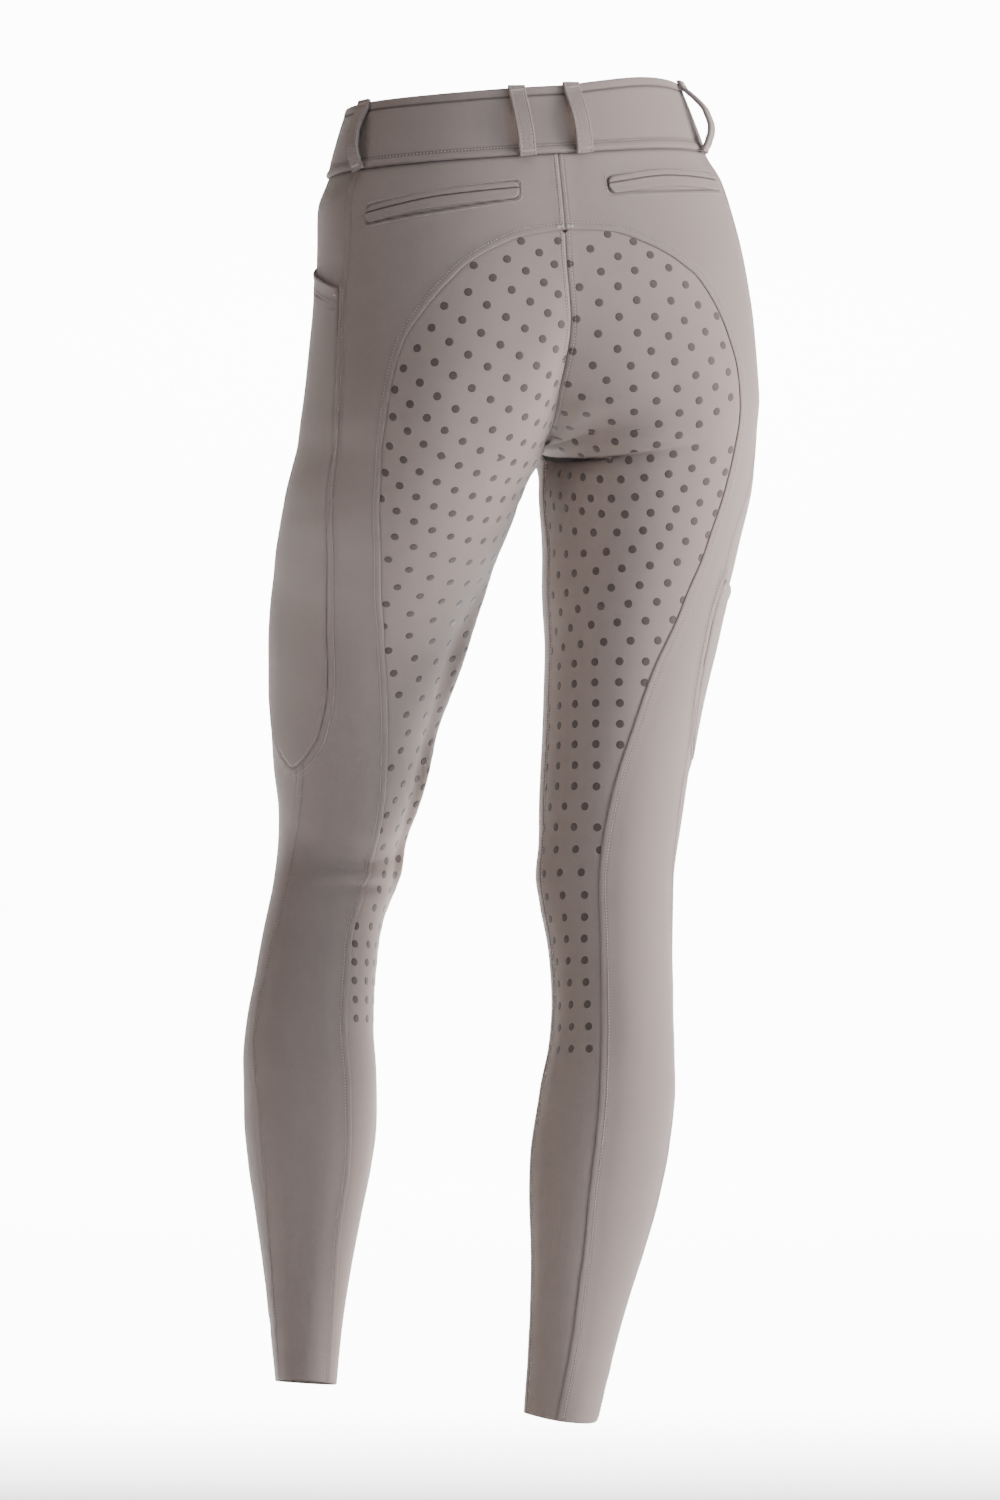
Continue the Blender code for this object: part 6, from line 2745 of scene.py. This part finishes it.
@dataclass
class Studio:
    """A pale stage with a low warm key light from the right and weak lights round it."""

    target: tuple[float, float, float] = (0.0, 0.0, -0.481)
    azimuth: float = 164.0
    distance: float = 4.2
    shift: float = -0.011
    lens: float = 136.2
    floor_level: float = -1.06
    air: float = 0.03
    pale: float = 3.0
    glow: float = 11.0
    lamps: tuple[Lamp, ...] = (
        Lamp("key", 0.5, 2.8, 0.4, 152.0, 1.5, (1.0, 0.89, 0.83)),
        Lamp("window", 1.8, 2.2, 0.6, 28.0, 1.6, (0.56, 0.78, 1.0)),
        Lamp("top", 0.8, 0.3, 2.2, 20.0, 1.6, (1.0, 0.96, 0.89)),
        Lamp("fill", 1.8, -2.2, 0.3, 14.0, 1.6, (1.0, 0.82, 0.76)),
        Lamp("low_fill", 1.8, -2.0, -0.9, 20.0, 1.6, (0.82, 0.90, 1.0)),
    )

    def axes(self) -> tuple[Vector, Vector]:
        """Returns the way towards the camera and the way to its right."""
        sine, cosine = math.sin(math.radians(self.azimuth)), math.cos(math.radians(self.azimuth))
        return Vector((sine, -cosine, 0)), Vector((cosine, sine, 0))

    def camera(self) -> bpy.types.Object:
        """Places the camera, level with the middle of the picture.

        Returns:
            The camera.
        """
        back, right = self.axes()
        data = bpy.data.cameras.new("view")
        data.lens, data.sensor_width, data.sensor_fit = self.lens, 36.0, "AUTO"
        data.dof.use_dof = False
        viewer = bpy.data.objects.new("view", data)
        place = Vector(self.target) + back * self.distance + right * self.shift
        viewer.matrix_world = Matrix((
            (right.x, 0, back.x, place.x), (right.y, 0, back.y, place.y),
            (0, 1, 0, place.z), (0, 0, 0, 1)))
        bpy.context.scene.collection.objects.link(viewer)
        bpy.context.scene.camera = viewer
        return viewer

    def light(self, lamp: Lamp) -> bpy.types.Object:
        """Places a square soft light that looks at the middle of the garment.

        Args:
            lamp: the light's place, strength, size and colour.

        Returns:
            The light.
        """
        back, right = self.axes()
        data = bpy.data.lights.new(lamp.name, "AREA")
        data.energy, data.size, data.color = lamp.power, lamp.size, lamp.colour
        light = bpy.data.objects.new(lamp.name, data)
        light.location = (Vector(self.target) + back * lamp.ahead + right * lamp.aside
                          + Vector((0, 0, lamp.up)))
        way = Vector(self.target) - light.location
        light.rotation_euler = way.to_track_quat("-Z", "Y").to_euler()
        bpy.context.scene.collection.objects.link(light)
        return light

    def stage(self) -> bpy.types.Object:
        """Lays the floor and bends it up behind the garment.

        The section is flat, then a quarter circle, then upright; it is swept sideways.

        Returns:
            The floor.
        """
        back, right = self.axes()
        reach, bend, top = 3.2, 1.2, 5.0
        angle = np.linspace(0, math.pi / 2, 17)
        away = np.concatenate([[-7.0, 0.0], reach + bend * np.sin(angle), [reach + bend]])
        high = np.concatenate([[0.0, 0.0], bend - bend * np.cos(angle), [top]])
        aside = np.linspace(-7, 7, 3)
        origin = np.array([0, 0, self.floor_level])
        points = (origin - np.array(back)[None, None] * away[:, None, None]
                  + np.array(right)[None, None] * aside[None, :, None]
                  + UP * high[:, None, None])
        data = MeshData(points.reshape(-1, 3) / MM, [grid_faces(len(away), 3)])
        mesh = blender_mesh("stage", data)
        finish = StageFinish("stage_finish", (0.86, 0.86, 0.86, 1), tuple(-back), tuple(right),
                             self.glow)
        mesh.materials.append(finish.make())
        floor = bpy.data.objects.new("stage", mesh)
        bpy.context.scene.collection.objects.link(floor)
        return floor

    def world(self) -> None:
        """Lights the whole scene evenly and a little, and looks pale beyond the stage."""
        world = bpy.data.worlds.new("air")
        world.use_nodes = True
        tree = world.node_tree
        shade = tree.nodes["Background"]
        shade.inputs["Color"].default_value = (1.0, 1.0, 1.0, 1.0)
        looked_at = tree.nodes.new("ShaderNodeLightPath").outputs["Is Camera Ray"]
        strength = tree.nodes.new("ShaderNodeMath")
        strength.operation = "MULTIPLY_ADD"
        for number, value in ((1, self.pale - self.air), (2, self.air)):
            strength.inputs[number].default_value = value
        tree.links.new(looked_at, strength.inputs[0])
        tree.links.new(strength.outputs[0], shade.inputs["Strength"])
        bpy.context.scene.world = world

    def build(self) -> None:
        """Sets everything up."""
        self.camera()
        self.stage()
        self.world()
        for lamp in self.lamps:
            self.light(lamp)


def build_waist(finishes: Finishes) -> None:
    """Builds the waistband, its loops and its button.

    Args:
        finishes: the garment's finishes.
    """
    band = Waistband()
    for name, data, light, dark in band.pieces():
        piece = Shown(name + "_cloth", data, finishes.trim, "trim_cloth", (name,)).place()
        cut = CUTS["waistband_back" if name == "waistband_back" else "waistband_front"]
        sew(name, light, dark, finishes)
    for place in BELT_LOOPS:
        loop = BeltLoop(place, band)
        piece = Shown(place.node + "_cloth", loop.mesh(), finishes.trim, "trim_cloth",
                      (place.node,), sharp=60.0).place()
        sewing = sew(place.node, loop.sewing(), (), finishes)
    button = WaistButton()
    Shown("waist_button_disc", button.mesh(), finishes.button, "button", ("waist_button",),
          sharp=40.0).place()
    sew("waist_button", button.sewing(), (), finishes)


def main() -> None:
    """Builds the garment and the studio round it."""
    logging.basicConfig(level=logging.INFO, format="%(message)s")
    finishes = Finishes.make()
    for side in Side:
        HalfGarment(side, finishes).build()
    build_waist(finishes)
    Studio().build()
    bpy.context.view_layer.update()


if __name__ == "__main__":
    main()
